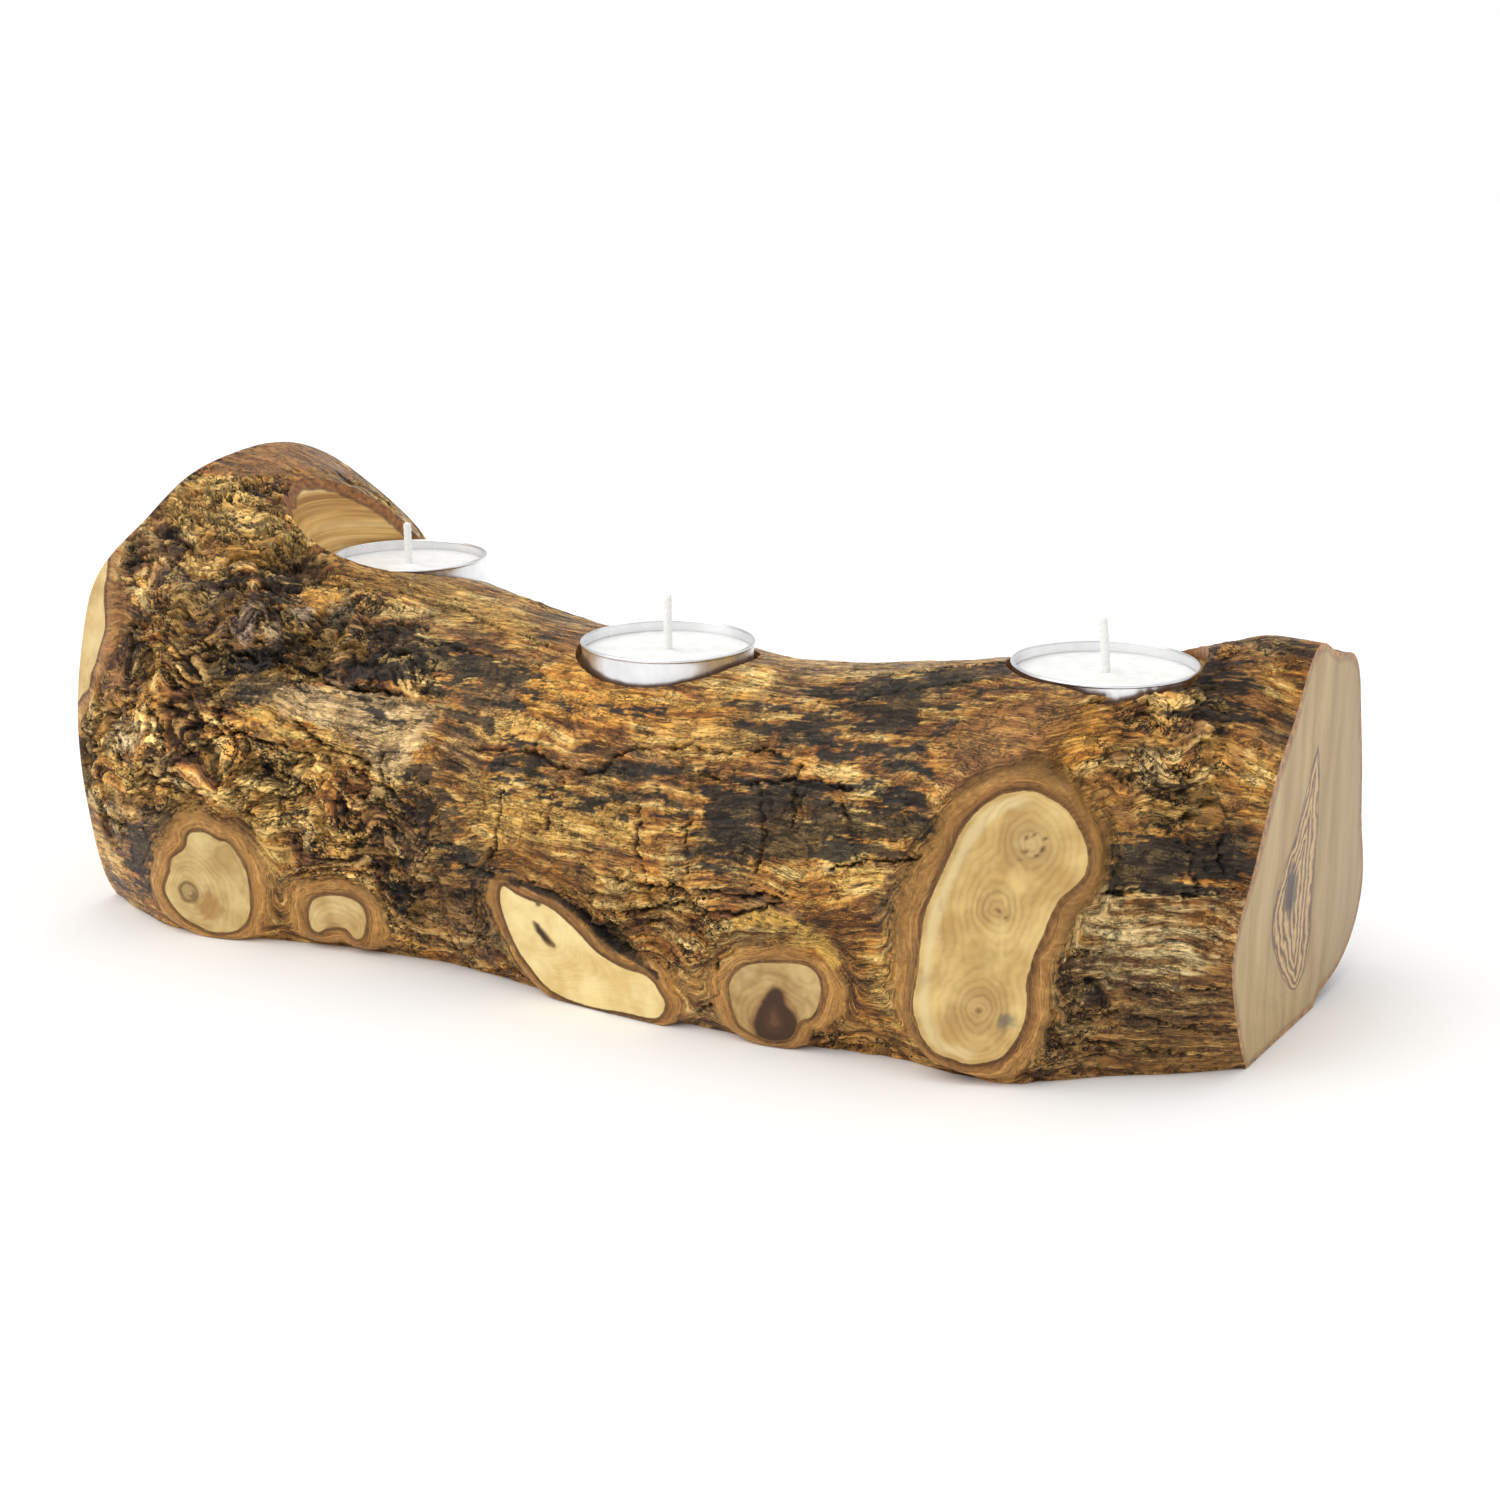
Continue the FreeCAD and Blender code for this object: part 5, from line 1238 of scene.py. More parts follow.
def bark_material():
    g = Nodes("bark_lacquered")
    col = g.attr("bark", "Color")
    kd, kr, dk = g.split(g.attr("knot"))
    fa, ff, ch = g.split(g.attr("fibre"))
    mm = millimetres(g)
    saw = g.attr("sawn", "Color")
    amp = saw.node.outputs["Alpha"]
    ragged = g.math("MULTIPLY_ADD", g.noise(mm, 0.7, 3.0, 0.6), 0.5, -0.25)
    face = g.step(0.10, -0.12, g.math("ADD", kd, ragged))
    hair = g.noise(g.join(g.math("MULTIPLY", fa, 0.16), g.math("MULTIPLY", ff, 1.7)), 1.0, 6.0, 0.62, 0.2)
    fine = g.noise(g.join(g.math("MULTIPLY", fa, 0.75), g.math("MULTIPLY", ff, 5.0)), 1.0, 4.0, 0.6, 0.3)
    grit = g.noise(mm, 0.95, 5.0, 0.6)
    speck = g.noise(mm, 0.42, 3.0, 0.55)
    tone = g.math("ADD", g.math("MULTIPLY", hair, 0.5), g.math("ADD", g.math("MULTIPLY", fine, 0.3), g.math("MULTIPLY", grit, 0.2)))
    smoothness = g.step(7.0, 2.5, kd, 0.0, 0.75)
    rough_bark = col.node.outputs["Alpha"]
    # flaking plates: crisp cells in the flow of the bark, parted by thin near-black gaps, part bark colour and part
    # painted shade
    shove = g.add("ShaderNodeTexNoise", {"Vector": mm, "Scale": 0.26, "Detail": 5.0, "Roughness": 0.66}, out=1)
    shove = g.scaled(g.vmath("SUBTRACT", shove, (0.5, 0.5, 0.5)), 2.6)
    plate_at = g.vmath("ADD", g.join(g.math("MULTIPLY", fa, 0.085), g.math("MULTIPLY", ff, 0.17)), shove)
    flake_at = g.vmath("ADD", g.join(g.math("MULTIPLY", fa, 0.30), g.math("MULTIPLY", ff, 0.62)), g.scaled(shove, 1.5))
    cuts, cells = [], []
    for at, wide in ((plate_at, 0.075), (flake_at, 0.065)):
        edge = g.add("ShaderNodeTexVoronoi", {"Vector": at, "Scale": 1.0}, voronoi_dimensions="2D", feature="DISTANCE_TO_EDGE")
        cell = g.add("ShaderNodeTexVoronoi", {"Vector": at, "Scale": 1.0}, out=1, voronoi_dimensions="2D", feature="F1")
        cuts.append(g.step(wide, wide * 0.25, edge))
        cells.append(g.split(cell))
    cut1 = g.math("MULTIPLY", cuts[0], g.step(0.36, 0.50, g.noise(mm, 0.085, 3.0, 0.5)))
    cut2 = g.math("MULTIPLY", cuts[1], g.step(0.46, 0.60, g.noise(mm, 0.14, 3.0, 0.5)))
    plated = g.math("MULTIPLY", g.math("MAXIMUM", rough_bark, 0.20), g.math("SUBTRACT", 1.0, smoothness))
    lift = g.math("ADD", g.math("MULTIPLY", g.math("SUBTRACT", cells[0][0], 0.5), 0.55), g.math("MULTIPLY", g.math("SUBTRACT", cells[1][0], 0.5), 0.45))
    gain = g.step(0.36, 0.64, tone, 0.34, 1.66, kind="LINEAR")
    gain = g.math("ADD", 1.0, g.math("MULTIPLY", g.math("SUBTRACT", gain, 1.0), g.math("SUBTRACT", 1.0, g.math("MULTIPLY", rough_bark, 0.58))))
    gain = g.math("MULTIPLY", gain, g.math("MULTIPLY_ADD", lift, plated, 1.0))
    bark = g.scaled(col, gain)
    bark = g.blend(g.math("MULTIPLY", g.math("MULTIPLY", g.step(0.70, 0.74, cells[0][1]), plated), 0.50), bark, g.scaled(srgb(212, 158, 74), gain))
    bark = g.blend(g.math("MULTIPLY", g.math("MULTIPLY", g.step(0.26, 0.22, cells[0][1]), plated), 0.45), bark, g.scaled(srgb(92, 62, 38), gain))
    bark = g.blend(g.math("MULTIPLY", g.math("MULTIPLY", g.step(0.86, 0.89, cells[1][1]), plated), 0.55), bark, g.scaled(srgb(232, 190, 112), gain))
    veins = g.noise(g.join(g.math("MULTIPLY", fa, 0.13), g.math("MULTIPLY", ff, 0.85)), 1.0, 5.0, 0.6, 0.4)
    vein = g.step(0.024, 0.006, g.math("ABSOLUTE", g.math("SUBTRACT", veins, 0.5)))
    vein = g.math("MULTIPLY", vein, g.step(0.45, 0.60, speck))
    veins2 = g.noise(g.join(g.math("MULTIPLY", fa, 0.34), g.math("MULTIPLY", ff, 1.9), 7.0), 1.0, 4.0, 0.6, 0.5)
    vein2 = g.step(0.030, 0.008, g.math("ABSOLUTE", g.math("SUBTRACT", veins2, 0.5)))
    vein2 = g.math("MULTIPLY", vein2, g.step(0.42, 0.56, g.noise(mm, 0.11, 3.0, 0.5)))
    vein = g.math("MAXIMUM", g.math("MULTIPLY", vein, 1.0), g.math("MULTIPLY", vein2, 0.8))
    vein = g.math("MULTIPLY", vein, g.math("SUBTRACT", 1.0, smoothness))
    bark = g.blend(g.math("MULTIPLY", vein, 0.88), bark, srgb(30, 19, 11))
    cut = g.math("MULTIPLY", g.math("MAXIMUM", g.math("MULTIPLY", cut1, 1.0), g.math("MULTIPLY", cut2, 0.75)), g.step(0.05, 0.35, plated))
    # The gaps between plates go near-black: part bark colour, part painted shade.
    bark = g.blend(cut, bark, srgb(26, 17, 10))
    bark = g.blend(g.math("MULTIPLY", g.math("MULTIPLY", g.step(0.59, 0.67, hair), g.math("MULTIPLY_ADD", ch, -0.50, 0.58)), g.math("SUBTRACT", 1.0, g.math("MAXIMUM", smoothness, g.math("MULTIPLY", rough_bark, 0.55)))), bark, srgb(240, 198, 112))
    bark = g.blend(g.math("MULTIPLY", g.step(0.40, 0.33, fine), g.math("MULTIPLY_ADD", rough_bark, -0.38, 0.55)), bark, srgb(40, 27, 16))
    # Crevices and gaps are darkened once more: part bark colour, part painted shade.
    bark = g.blend(dk, bark, g.scaled(bark, 0.6))
    # growth rings on the sawn branches
    wob = g.noise(mm, 0.16, 3.0, 0.5)
    fine_w = g.noise(mm, 0.6, 3.0, 0.5)
    ring_in = g.math("ADD", g.math("MULTIPLY", kr, 5.2), g.math("ADD", g.math("MULTIPLY", wob, 15.0), g.math("MULTIPLY", fine_w, 2.4)))
    ring = g.math("MULTIPLY_ADD", g.math("SINE", ring_in), 0.5, 0.5)
    ring = g.math("POWER", ring, 2.0)
    ring2 = g.math("MULTIPLY_ADD", g.math("SINE", g.math("MULTIPLY", ring_in, 0.37)), 0.5, 0.5)
    pores = g.step(0.66, 0.76, g.noise(mm, 1.6, 2.0, 0.5))
    lines = g.math("ADD", g.math("MULTIPLY", ring, 0.46), g.math("MULTIPLY", ring2, 0.30))
    lines = g.math("ADD", g.math("MULTIPLY", lines, amp), g.math("MULTIPLY", pores, 0.12))
    sawn = g.blend(lines, saw, g.scaled(g.blend(0.35, saw, srgb(150, 100, 46)), 0.62))
    color = g.blend(face, bark, sawn)
    height = g.math("ADD", g.math("MULTIPLY", hair, 0.60), g.math("ADD", g.math("MULTIPLY", fine, 0.34), g.math("MULTIPLY", grit, 0.36)))
    height = g.math("SUBTRACT", height, g.math("MULTIPLY", vein, 0.35))
    height = g.math("ADD", height, g.math("MULTIPLY", g.math("MULTIPLY", lift, plated), 0.9))
    height = g.math("SUBTRACT", height, g.math("MULTIPLY", cut, 0.7))
    height = g.math("MULTIPLY", height, g.math("SUBTRACT", 1.0, g.math("MULTIPLY", face, 0.93)))
    rough = g.math("ADD", g.math("MULTIPLY", speck, 0.25), g.math("ADD", 0.30, g.math("MULTIPLY", ch, 0.10)))
    g.set(Base_Color=color, Roughness=rough, Normal=g.bump(height, 0.00042),
          Coat_Weight=g.math("SUBTRACT", 0.16, g.math("MULTIPLY", dk, 0.12)), Coat_Roughness=0.2)
    g.bsdf.inputs["Specular IOR Level"].default_value = 0.2
    return g.mat


# Centre line and half width of the heartwood figure on the sawn ends, by height.
EYE_C = [(0, 27.0), (9.5, 27.5), (14, 26.0), (20, 24.5), (29, 23.1), (37, 24.8), (45, 28.2), (52, 29.5), (59, 30.3), (70, 31.5), (105, 35.0)]
EYE_W = [(0, -7.0), (7.5, -1.5), (9, 2.2), (12, 6.0), (20, 10.6), (29, 11.9), (37, 9.6), (45, 6.2), (52, 3.9), (58, 1.7), (61, 0.0), (70, -4.0), (105, -12.0)]


def end_material():
    g = Nodes("sawn_end")
    mm = millimetres(g)
    x, y, z = g.split(mm)
    inset = g.attr("inset", "Fac")
    warp = g.math("MULTIPLY_ADD", g.noise(g.join(0.0, g.math("MULTIPLY", y, 0.05), g.math("MULTIPLY", z, 0.03)), 1.0, 3.0, 0.5), 7.0, -3.5)
    c = g.curve(z, EYE_C, 0, 105)
    w = g.curve(z, EYE_W, 0, 105)
    dy = g.math("SUBTRACT", y, c)
    d = g.math("SUBTRACT", g.math("ABSOLUTE", dy), w)
    # the hidden left end has a plain round heart instead
    ry = g.math("MULTIPLY", g.math("SUBTRACT", y, 6.0), 0.82)
    rz = g.math("SUBTRACT", z, 46.0)
    round_d = g.math("SUBTRACT", g.math("POWER", g.math("ADD", g.math("MULTIPLY", ry, ry), g.math("MULTIPLY", rz, rz)), 0.5), 13.0)
    left = g.step(1.0, -1.0, x)
    d = g.math("ADD", g.math("MULTIPLY", d, g.math("SUBTRACT", 1.0, left)), g.math("MULTIPLY", round_d, left))
    d = g.math("ADD", d, warp)
    wob = g.noise(g.join(0.0, g.math("MULTIPLY", y, 0.22), g.math("MULTIPLY", z, 0.16)), 1.0, 4.0, 0.6)
    line_in = g.math("ADD", g.math("MULTIPLY", d, 1.7), g.math("MULTIPLY", wob, 9.0))
    line = g.math("POWER", g.math("MULTIPLY_ADD", g.math("SINE", line_in), 0.5, 0.5), 1.6)
    ring_gain = g.math("MULTIPLY_ADD", left, 3.0, 1.0)
    broad = g.math("MULTIPLY_ADD", g.math("SINE", g.math("MULTIPLY", line_in, 0.31)), 0.5, 0.5)
    streak_n = g.noise(g.join(0.0, g.math("MULTIPLY", g.math("ADD", y, g.math("MULTIPLY", warp, 1.8)), 0.20), g.math("MULTIPLY", z, 0.014)), 1.0, 6.0, 0.58)
    base = g.ramp(g.step(0.22, 0.78, streak_n, kind="LINEAR"), [(0.0, srgb(151, 124, 75)), (0.5, srgb(181, 153, 99)), (1.0, srgb(199, 171, 114))])
    sap = g.blend(g.math("ADD", g.math("MULTIPLY", g.math("MULTIPLY", line, ring_gain), 0.035), g.math("MULTIPLY", broad, 0.10)), base, srgb(120, 94, 62))
    sap = g.blend(g.step(28.0, 62.0, y, 0.0, 0.42, kind="LINEAR"), sap, srgb(134, 100, 66))
    heart = g.ramp(g.math("MULTIPLY_ADD", g.math("SINE", g.math("MULTIPLY", line_in, 1.5)), 0.5, 0.5),
                   [(0.0, srgb(94, 60, 34)), (0.30, srgb(160, 120, 72)), (1.0, srgb(206, 174, 118))])
    inside = g.step(0.35, -0.35, d)
    border = g.step(0.55, 0.15, g.math("ABSOLUTE", d))
    spot = g.math("POWER", g.math("ADD", g.math("POWER", g.math("DIVIDE", g.math("SUBTRACT", y, 20.0), 3.4), 2.0), g.math("POWER", g.math("DIVIDE", g.math("SUBTRACT", z, 32.5), 6.5), 2.0)), 0.5)
    spot = g.math("ADD", spot, g.math("MULTIPLY_ADD", g.noise(mm, 0.5, 3.0, 0.6), 1.4, -0.7))
    spot = g.math("ADD", spot, g.math("MULTIPLY", left, 5.0))
    heart = g.blend(g.math("MULTIPLY", left, 0.55), heart, srgb(150, 108, 64))
    heart = g.blend(g.step(1.25, 0.5, spot, 0.0, 0.92), heart, srgb(62, 42, 30))
    color = g.blend(inside, sap, heart)
    color = g.blend(g.math("MULTIPLY", border, 0.7), color, srgb(112, 72, 40))
    pores = g.step(0.63, 0.72, g.noise(mm, 1.7, 2.0, 0.5))
    color = g.blend(g.math("MULTIPLY", pores, 0.22), color, srgb(92, 62, 36))
    # bark rim
    edge_n = g.noise(mm, 0.16, 4.0, 0.6)
    thick = g.math("MULTIPLY_ADD", edge_n, 2.8, 0.1)
    front = g.step(34.0, 12.0, y)
    thick = g.math("ADD", thick, g.math("MULTIPLY", front, g.step(20.0, 85.0, z, -0.6, 2.2, kind="LINEAR")))
    thick = g.math("SUBTRACT", thick, g.math("MULTIPLY", g.math("SUBTRACT", 1.0, front), 0.7))
    rimd = g.math("SUBTRACT", inset, thick)
    barkm = g.step(0.3, -0.3, rimd)
    bark = g.ramp(g.noise(mm, 0.7, 5.0, 0.6), [(0.3, srgb(96, 60, 28)), (0.5, srgb(164, 112, 54)), (0.7, srgb(202, 152, 84))])
    color = g.blend(g.math("MULTIPLY", g.step(1.5, 0.2, g.math("ABSOLUTE", rimd)), 0.5), color, srgb(122, 78, 42))
    color = g.blend(barkm, color, bark)
    h = g.math("ADD", g.math("MULTIPLY", streak_n, 0.5), g.math("MULTIPLY", line, 0.15))
    g.set(Base_Color=color, Roughness=g.step(0.3, 0.7, streak_n, 0.50, 0.36, kind="LINEAR"), Normal=g.bump(h, 0.00012), Coat_Weight=0.15, Coat_Roughness=0.3)
    g.bsdf.inputs["Specular IOR Level"].default_value = 0.4
    return g.mat


def base_material():
    g = Nodes("sawn_underside")
    mm = millimetres(g)
    x, y, z = g.split(mm)
    warp = g.noise(g.join(g.math("MULTIPLY", x, 0.018), g.math("MULTIPLY", y, 0.04)), 1.0, 3.0, 0.5)
    yy = g.math("ADD", y, g.math("MULTIPLY", warp, 26.0))
    line = g.math("POWER", g.math("MULTIPLY_ADD", g.math("SINE", g.math("MULTIPLY", yy, 1.15)), 0.5, 0.5), 1.7)
    streak_n = g.noise(g.join(g.math("MULTIPLY", x, 0.05), g.math("MULTIPLY", yy, 1.2)), 1.0, 6.0, 0.6)
    base = g.ramp(g.step(0.33, 0.67, streak_n, kind="LINEAR"), [(0.0, srgb(160, 122, 76)), (0.5, srgb(196, 158, 106)), (1.0, srgb(222, 190, 140))])
    color = g.blend(g.math("MULTIPLY", line, 0.28), base, srgb(140, 96, 54))
    heart = g.step(16.0, 9.0, g.math("ABSOLUTE", g.math("SUBTRACT", yy, 14.0)))
    color = g.blend(g.math("MULTIPLY", heart, 0.6), color, srgb(128, 82, 48))
    saw = g.math("SINE", g.math("MULTIPLY", g.math("ADD", x, g.math("MULTIPLY", y, 0.18)), 3.1))
    h = g.math("ADD", g.math("MULTIPLY", streak_n, 0.5), g.math("MULTIPLY", saw, 0.07))
    g.set(Base_Color=color, Roughness=0.55, Normal=g.bump(h, 0.00015), Coat_Weight=0.05)
    return g.mat


def bore_material():
    g = Nodes("turned_recess")
    mm = millimetres(g)
    x, y, z = g.split(mm)
    depth = g.attr("depth", "Fac")
    slope = g.math("ADD", z, g.math("MULTIPLY", x, 0.22))
    grain = g.noise(g.join(g.math("MULTIPLY", x, 0.016), g.math("MULTIPLY", y, 0.012), g.math("MULTIPLY", slope, 0.62)), 1.0, 6.0, 0.62)
    wave = g.math("ADD", g.math("MULTIPLY", slope, 1.5), g.math("MULTIPLY", g.noise(mm, 0.05, 3.0, 0.5), 22.0))
    line = g.math("POWER", g.math("MULTIPLY_ADD", g.math("SINE", wave), 0.5, 0.5), 1.8)
    wood = g.ramp(g.step(0.34, 0.66, grain, kind="LINEAR"), [(0.0, srgb(160, 112, 50)), (0.5, srgb(224, 178, 100)), (1.0, srgb(248, 216, 148))])
    wood = g.blend(g.math("MULTIPLY", line, 0.30), wood, srgb(152, 100, 46))
    edge = g.math("ADD", depth, g.math("MULTIPLY_ADD", g.noise(mm, 0.2, 4.0, 0.6), 2.6, -1.3))
    bark = g.ramp(g.noise(mm, 0.8, 5.0, 0.6), [(0.3, srgb(84, 50, 26)), (0.5, srgb(146, 92, 44)), (0.7, srgb(182, 128, 66))])
    color = g.blend(g.step(2.7, 2.2, edge), wood, bark)
    color = g.blend(g.math("MULTIPLY", g.step(0.55, 0.1, g.math("ABSOLUTE", g.math("SUBTRACT", edge, 2.6))), 0.7), color, srgb(86, 50, 26))
    tool = g.math("SINE", g.math("MULTIPLY", z, 9.0))
    h = g.math("ADD", g.math("MULTIPLY", grain, 0.4), g.math("MULTIPLY", tool, 0.04))
    g.set(Base_Color=color, Roughness=0.45, Normal=g.bump(h, 0.00018), Coat_Weight=0.15, Coat_Roughness=0.3)
    return g.mat


for m in (bark_material(), end_material(), base_material(), bore_material()):
    carved.materials.append(m)
while len(carved.materials) > 4:
    carved.materials.pop(index=0)
carved.polygons.foreach_set("material_index", pmat)
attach(log, "log")
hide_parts("log_body")
# ----------------------------------------------------------------- tealights
def aluminium_material():
    g = Nodes("drawn_aluminium")
    mm = millimetres(g)
    x, y, z = g.split(mm)
    brushed = g.noise(g.join(g.math("MULTIPLY", x, 0.9), g.math("MULTIPLY", y, 0.9), g.math("MULTIPLY", z, 0.09)), 1.0, 5.0, 0.6)
    soft = g.noise(mm, 0.12, 3.0, 0.5)
    color = g.blend(g.step(0.35, 0.65, soft, kind="LINEAR"), srgb(226, 227, 229), srgb(244, 244, 245))
    color = g.blend(g.math("MULTIPLY", g.step(0.62, 0.75, brushed), 0.12), color, srgb(180, 181, 184))
    g.set(Base_Color=color, Metallic=1.0, Roughness=g.step(0.3, 0.7, brushed, 0.26, 0.36, kind="LINEAR"), Normal=g.bump(brushed, 0.000015))
    return g.mat


def wax_material():
    g = Nodes("white_wax")
    mm = millimetres(g)
    mottle = g.noise(mm, 0.28, 4.0, 0.5)
    color = g.blend(g.step(0.35, 0.65, mottle, kind="LINEAR"), srgb(238, 238, 234), srgb(250, 250, 248))
    g.set(Base_Color=color, Roughness=g.step(0.3, 0.7, mottle, 0.34, 0.48, kind="LINEAR"), Subsurface_Weight=0.6,
          Normal=g.bump(mottle, 0.0002))
    g.bsdf.inputs["Subsurface Radius"].default_value = (0.003, 0.0027, 0.0024)
    g.bsdf.inputs["Subsurface Scale"].default_value = 0.6
    return g.mat


def wick_material():
    g = Nodes("cotton_wick")
    mm = millimetres(g)
    fuzz = g.noise(mm, 5.0, 5.0, 0.65)
    color = g.blend(g.step(0.35, 0.65, fuzz, kind="LINEAR"), srgb(240, 239, 235), srgb(252, 252, 250))
    g.set(Base_Color=color, Roughness=0.85, Subsurface_Weight=0.2, Normal=g.bump(fuzz, 0.0001), Sheen_Weight=0.3)
    g.bsdf.inputs["Subsurface Scale"].default_value = 0.3
    g.bsdf.inputs["Subsurface Radius"].default_value = (0.001, 0.001, 0.001)
    return g.mat


def steel_material():
    g = Nodes("tinned_steel")
    mm = millimetres(g)
    grain = g.noise(g.vmath("MULTIPLY", mm, (0.3, 4.0, 1.0)), 1.0, 4.0, 0.6)
    color = g.blend(g.step(0.35, 0.65, grain, kind="LINEAR"), srgb(150, 152, 154), srgb(196, 198, 200))
    g.set(Base_Color=color, Metallic=1.0, Roughness=0.34, Normal=g.bump(grain, 0.00004))
    return g.mat


def revolve(name, profile, segments, wobble=None, cap=True):
    """A closed solid turned about Z from (radius, height) points in millimetres, starting and ending on the axis."""
    prof = np.array(profile, float)
    t = np.arange(segments) * 2 * np.pi / segments
    inner = prof[1:-1]
    pts = [np.array([[0, 0, prof[0, 1]]])]
    for j, (r, z) in enumerate(inner):
        rr, zz = np.full(segments, r), np.full(segments, z)
        if wobble is not None:
            rr, zz = wobble(j, r, z, t)
        pts.append(np.stack([rr * np.cos(t), rr * np.sin(t), zz], -1))
    pts.append(np.array([[0, 0, prof[-1, 1]]]))
    v = np.vstack(pts)
    k = len(inner)
    i = np.arange(segments)
    quads = [np.stack([1 + j * segments + i, 1 + j * segments + (i + 1) % segments,
                       1 + (j + 1) * segments + (i + 1) % segments, 1 + (j + 1) * segments + i], -1) for j in range(k - 1)]
    quads = np.concatenate(quads)
    last = 1 + (k - 1) * segments
    top = len(v) - 1
    tris = np.concatenate([np.stack([np.zeros(segments, int), 1 + (i + 1) % segments, 1 + i], -1),
                           np.stack([np.full(segments, top), last + i, last + (i + 1) % segments], -1)])
    return v, quads, tris


def arc_pts(cx, cz, r, a0, a1, n):
    return [(cx + r * math.cos(math.radians(a)), cz + r * math.sin(math.radians(a))) for a in np.linspace(a0, a1, n)]


def make(name, data, place, body, node, material, sharp=40):
    v, quads, tris = data
    world = (v + np.array(place) + SHIFT) * MM
    me = build(name, world, [quads, tris], np.zeros(len(quads) + len(tris), np.int32))
    me.materials.append(material)
    me.polygons.foreach_set("use_smooth", np.ones(len(me.polygons), bool))
    me.validate()
    ob = bpy.data.objects.new(name, me)
    bpy.context.scene.collection.objects.link(ob)
    me.set_sharp_from_angle(angle=math.radians(sharp))
    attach(ob, body)
    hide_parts(node)
    return ob


ALU, WAX, WICK, STEEL = aluminium_material(), wax_material(), wick_material(), steel_material()
CUP_PROFILE = (
    [(0.0, 0.35), (4.0, 0.33), (4.6, 0.12), (5.6, 0.12), (6.2, 0.33), (13.0, 0.33), (13.8, 0.10), (14.6, 0.0), (16.6, 0.0)]
    + arc_pts(17.5, 1.25, 1.25, -80, -5, 8)
    + [(18.76, 3.0), (18.78, 6.0), (18.79, 9.0), (18.79, 11.0), (18.80, 13.4), (18.80, 14.25)]
    + arc_pts(18.76, 15.06, 0.42, -78, 178, 16)
    + [(18.36, 14.6), (18.50, 14.2), (18.53, 13.4), (18.53, 11.0), (18.53, 9.0), (18.52, 6.0), (18.50, 3.0)]
    + [(18.42, 1.8), (18.1, 1.0), (17.4, 0.55), (16.4, 0.30), (14.6, 0.27), (13.6, 0.52), (6.4, 0.60), (5.8, 0.38), (4.5, 0.38), (4.0, 0.60)]
    + [(0.0, 0.62)]
)
SEG = 160


def cup_wobble(phase):
    def f(j, r, z, t):
        w = smooth(0.5, 4.0, z) * (1 - smooth(11.0, 14.0, z)) * (r > 18)
        return r - w * (0.035 * (1 + np.sin(24 * t + phase)) + 0.03 * (1 + np.sin(7 * t + 2 * phase))), np.full(len(t), z) + 0.05 * (z > 14.3) * (np.sin(3 * t + phase) - 1)
    return f


def wax_profile(floor_gap, top):
    dish = [(18.37, top - 0.25), (18.35, top + 0.10), (18.2, top - 0.02), (17.8, top - 0.12), (16.5, top - 0.28), (14.0, top - 0.42),
            (11.0, top - 0.50), (8.0, top - 0.52), (5.0, top - 0.46), (3.2, top - 0.30), (2.2, top - 0.05), (1.5, top + 0.16), (1.1, top + 0.28), (0.9, top + 0.30)]
    return ([(0.0, floor_gap + 0.38), (6.36, floor_gap + 0.38), (6.42, floor_gap)] + [(12.6, floor_gap), (15.5, floor_gap + 0.02)]
            + arc_pts(16.90, floor_gap + 1.5, 1.45, -85, 0, 8) + [(18.36, floor_gap + 4.0), (18.37, top - 3.0)] + dish + [(0.0, top + 0.30)])


def wax_wobble(phase):
    def f(j, r, z, t):
        w = (z > 9) * 0.07 * smooth(2, 10, r) * (1 - smooth(17.0, 18.3, r))
        return np.full(len(t), r), z + w * (np.sin(2 * t + phase) + 0.6 * np.sin(5 * t + 2.3 * phase))
    return f


def braided_wick(z0, z1, lean, phase):
    """A woven wick: strands twist round it, its top is cut a little ragged and it bends with its lean."""
    n, rows = 36, 120
    t = np.arange(n) * 2 * np.pi / n
    pts = [np.array([[0, 0, z0]])]
    for j in range(rows):
        f = j / (rows - 1)
        z = z0 + (z1 - z0) * f
        r = 0.86 + 0.12 * np.abs(np.sin(1.5 * t + z * 2.2 + phase)) * np.abs(np.sin(1.5 * t - z * 2.2)) ** 0.6
        r = r * (1 - 0.12 * smooth(0.985, 1.0, f))
        up = np.clip((z - (z1 - 10.2)) / 10.2, 0, 1)
        bend = 10.2 * up ** 1.25
        cx, cy = lean[0] * bend, lean[1] * bend
        zz = z + 0.12 * (f > 0.985) * np.sin(3 * t + phase)
        pts.append(np.stack([cx + r * np.cos(t), cy + r * np.sin(t), np.full(n, z) * 0 + zz], -1))
    top = np.array([[lean[0] * 10.2, lean[1] * 10.2, z1 + 0.02]])
    pts.append(top)
    v = np.vstack(pts)
    i = np.arange(n)
    quads = np.concatenate([np.stack([1 + j * n + i, 1 + j * n + (i + 1) % n, 1 + (j + 1) * n + (i + 1) % n, 1 + (j + 1) * n + i], -1) for j in range(rows - 1)])
    last = 1 + (rows - 1) * n
    tris = np.concatenate([np.stack([np.zeros(n, int), 1 + (i + 1) % n, 1 + i], -1), np.stack([np.full(n, len(v) - 1), last + i, last + (i + 1) % n], -1)])
    return v, quads, tris


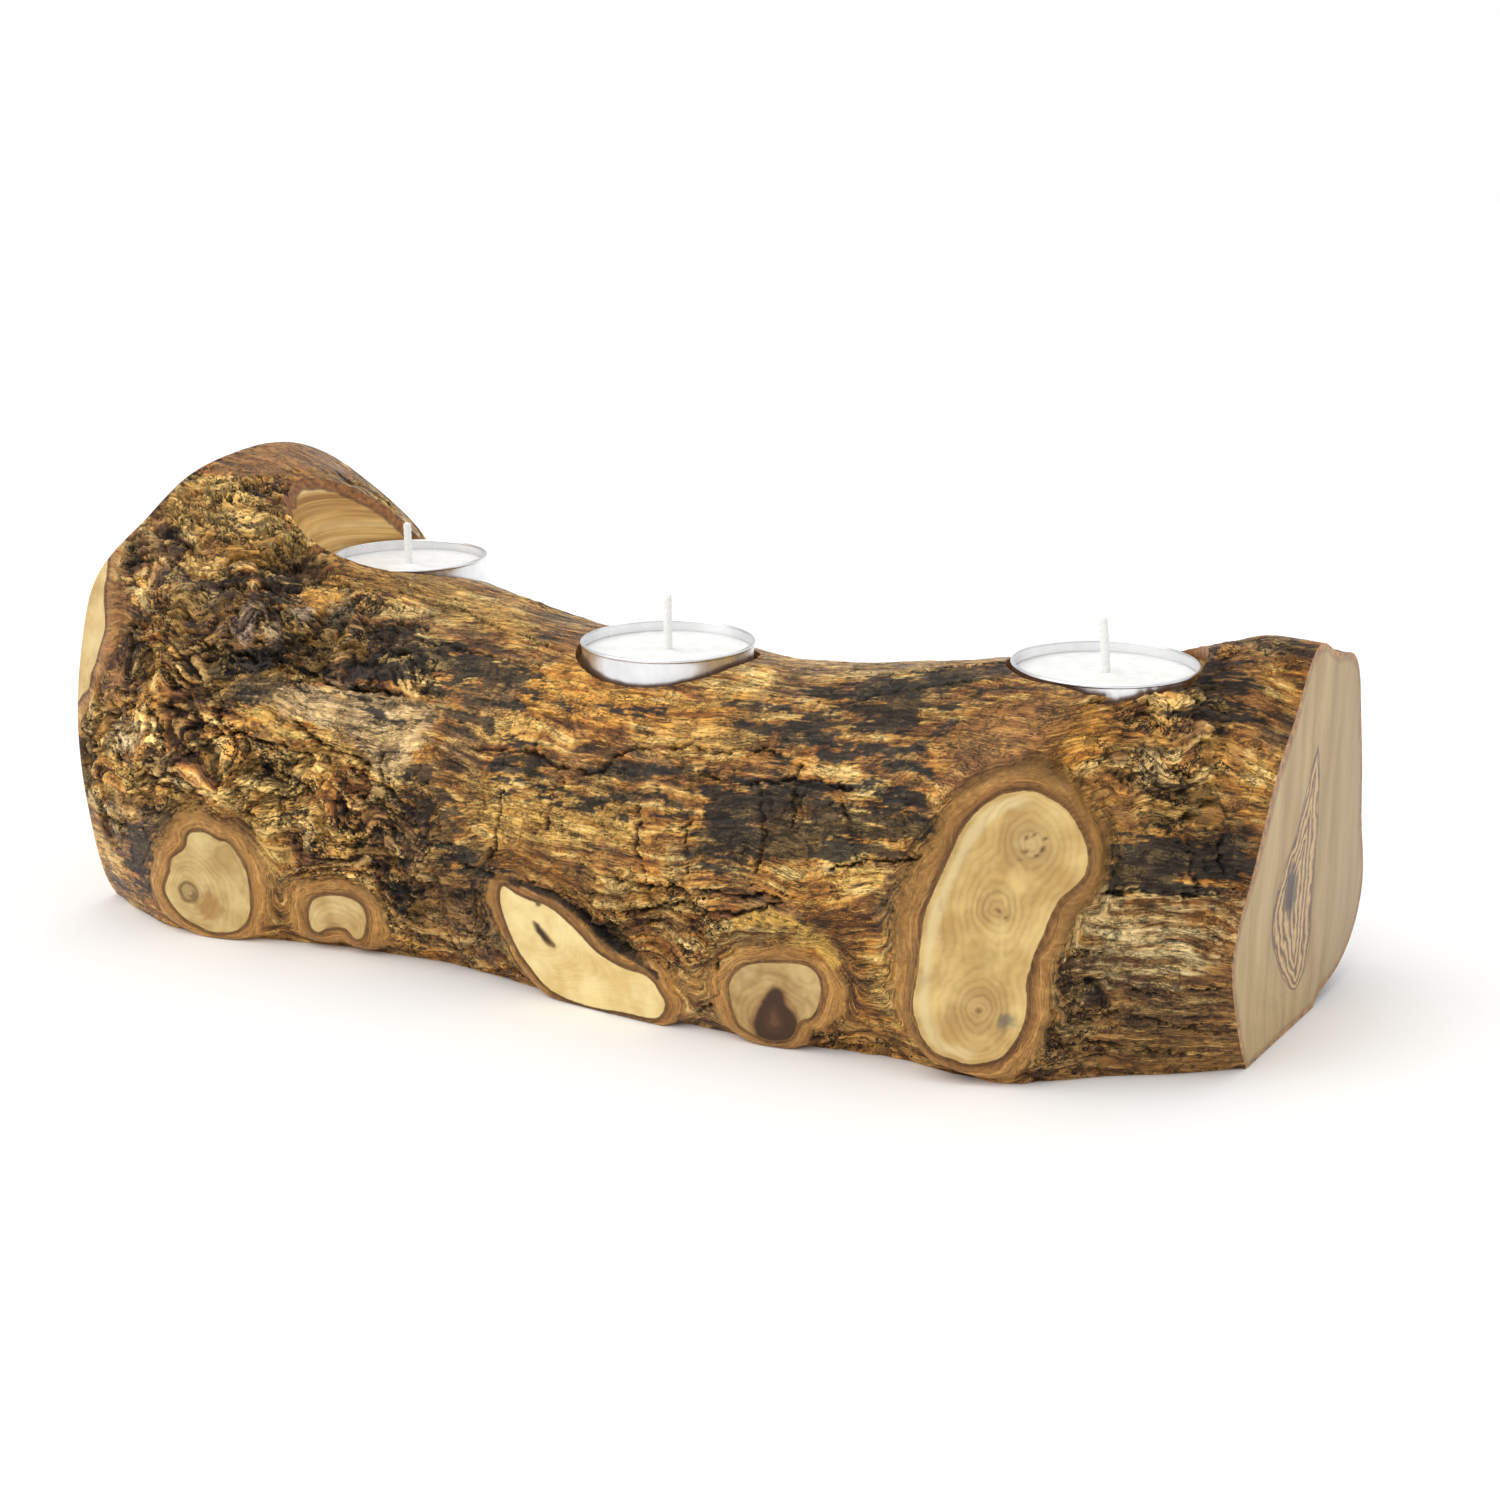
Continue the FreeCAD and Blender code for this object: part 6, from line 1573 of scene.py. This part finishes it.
LEANS = {"left": (0.0, 0.0), "centre": (0.0, 0.0), "right": (-0.09, -0.04)}
for k, (name, (x, y, rimz, wick_h)) in enumerate(TEALIGHTS.items()):
    floor = rimz - CUP_H
    place = (x, y, floor)
    make(name + "_cup_shell", revolve(name, CUP_PROFILE, SEG, cup_wobble(1.3 * k + 0.4)), place, name + "_tealight_cup", name + "_cup", ALU)
    wax_top = CUP_H - 2.5
    make(name + "_wax_fill", revolve(name, wax_profile(0.66, wax_top), SEG, wax_wobble(0.7 + 1.9 * k)), place, name + "_candle", name + "_wax", WAX)
    box_lo, box_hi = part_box(name + "_wick")
    z1 = box_hi[2] / MM - floor
    z0 = max(box_lo[2] / MM - floor, 0.70)
    make(name + "_wick_braid", braided_wick(z0, z1 - 0.1, LEANS[name], 1.1 * k), place, name + "_candle", name + "_wick", WICK, 60)
    tlo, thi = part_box(name + "_wick_tab")
    b, tp = max(tlo[2] / MM - floor, 0.66), thi[2] / MM - floor      # on top of the cup's raised bottom
    tab = [(0.0, b), (5.4, b), (6.1, b + 0.03), (6.3, b + 0.14), (6.1, b + 0.26), (5.4, b + 0.30), (4.6, b + 0.30), (4.2, b + 0.20), (3.4, b + 0.20), (3.0, b + 0.30),
           (1.75, b + 0.34), (1.45, b + 0.6), (1.35, b + 1.2), (1.35, tp - 0.2), (1.28, tp - 0.05), (1.12, tp), (0.0, tp)]
    make(name + "_tab_disc", revolve(name, tab, 72), place, name + "_candle", name + "_wick_tab", STEEL)
# --------------------------------------------------------- floor, light, camera
def floor_material():
    g = Nodes("studio_floor")
    mm = millimetres(g)
    g.set(Base_Color=g.blend(g.noise(mm, 0.004, 2.0), srgb(250, 250, 250), srgb(254, 254, 254)), Roughness=0.9)
    g.bsdf.inputs["Specular IOR Level"].default_value = 0.1
    return g.mat


bpy.ops.mesh.primitive_grid_add(x_subdivisions=8, y_subdivisions=8, size=8.0, location=(0, 0, -0.0002))
floor = bpy.context.object
floor.name = "floor"
floor.data.materials.append(floor_material())

scene = bpy.context.scene
world = bpy.data.worlds.new("studio") if not scene.world else scene.world
scene.world = world
world.use_nodes = True
# A white room whose ceiling is dimmer than its walls, so that the soft lights can shape the object.
wt = world.node_tree
back_node = wt.nodes["Background"]
geo = wt.nodes.new("ShaderNodeTexCoord")
sep = wt.nodes.new("ShaderNodeSeparateXYZ")
rng = wt.nodes.new("ShaderNodeMapRange")
rng.interpolation_type = "SMOOTHSTEP"
for key, val in (("From Min", 0.07), ("From Max", 0.25), ("To Min", 1.0), ("To Max", 0.62)):
    rng.inputs[key].default_value = val
wt.links.new(geo.outputs["Generated"], sep.inputs[0])
wt.links.new(sep.outputs[2], rng.inputs["Value"])
back_node.inputs[0].default_value = (1.0, 1.0, 1.0, 1.0)
wt.links.new(rng.outputs[0], back_node.inputs[1])


def sun(name, direction, strength, spread, color=(1, 1, 1)):
    """A wide, soft source that lights the whole floor evenly; direction points from the light to the object."""
    data = bpy.data.lights.new(name, "SUN")
    data.energy = strength
    data.angle = math.radians(spread)
    data.color = color
    ob = bpy.data.objects.new(name, data)
    scene.collection.objects.link(ob)
    ob.location = -Vector(direction) * 2.0
    ob.rotation_euler = Vector(direction).to_track_quat("-Z", "Y").to_euler()
    return ob


sun("key_light", (0.35, 0.60, -0.85), 1.35, 60, (1.0, 0.99, 0.97))
sun("top_light", (-0.10, -0.30, -1.0), 0.75, 70)

cam_data = bpy.data.cameras.new("camera")
cam_data.lens = 52.8
cam_data.sensor_width = 36.0
cam_data.sensor_fit = "HORIZONTAL"
cam_data.clip_start = 0.01
cam_data.clip_end = 20.0
cam = bpy.data.objects.new("camera", cam_data)
scene.collection.objects.link(cam)
az, pitch = math.radians(34.0), math.radians(16.4)
cam.location = (0.280, -0.39215, 0.187)
forward = Vector((-math.sin(az) * math.cos(pitch), math.cos(az) * math.cos(pitch), -math.sin(pitch)))
cam.rotation_euler = forward.to_track_quat("-Z", "Y").to_euler()
scene.camera = cam
scene.view_settings.view_transform = "Standard"
scene.view_settings.look = "None"
scene.view_settings.exposure = 0.0

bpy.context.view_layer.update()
print("scene ready %.1fs" % (time.time() - T_START))
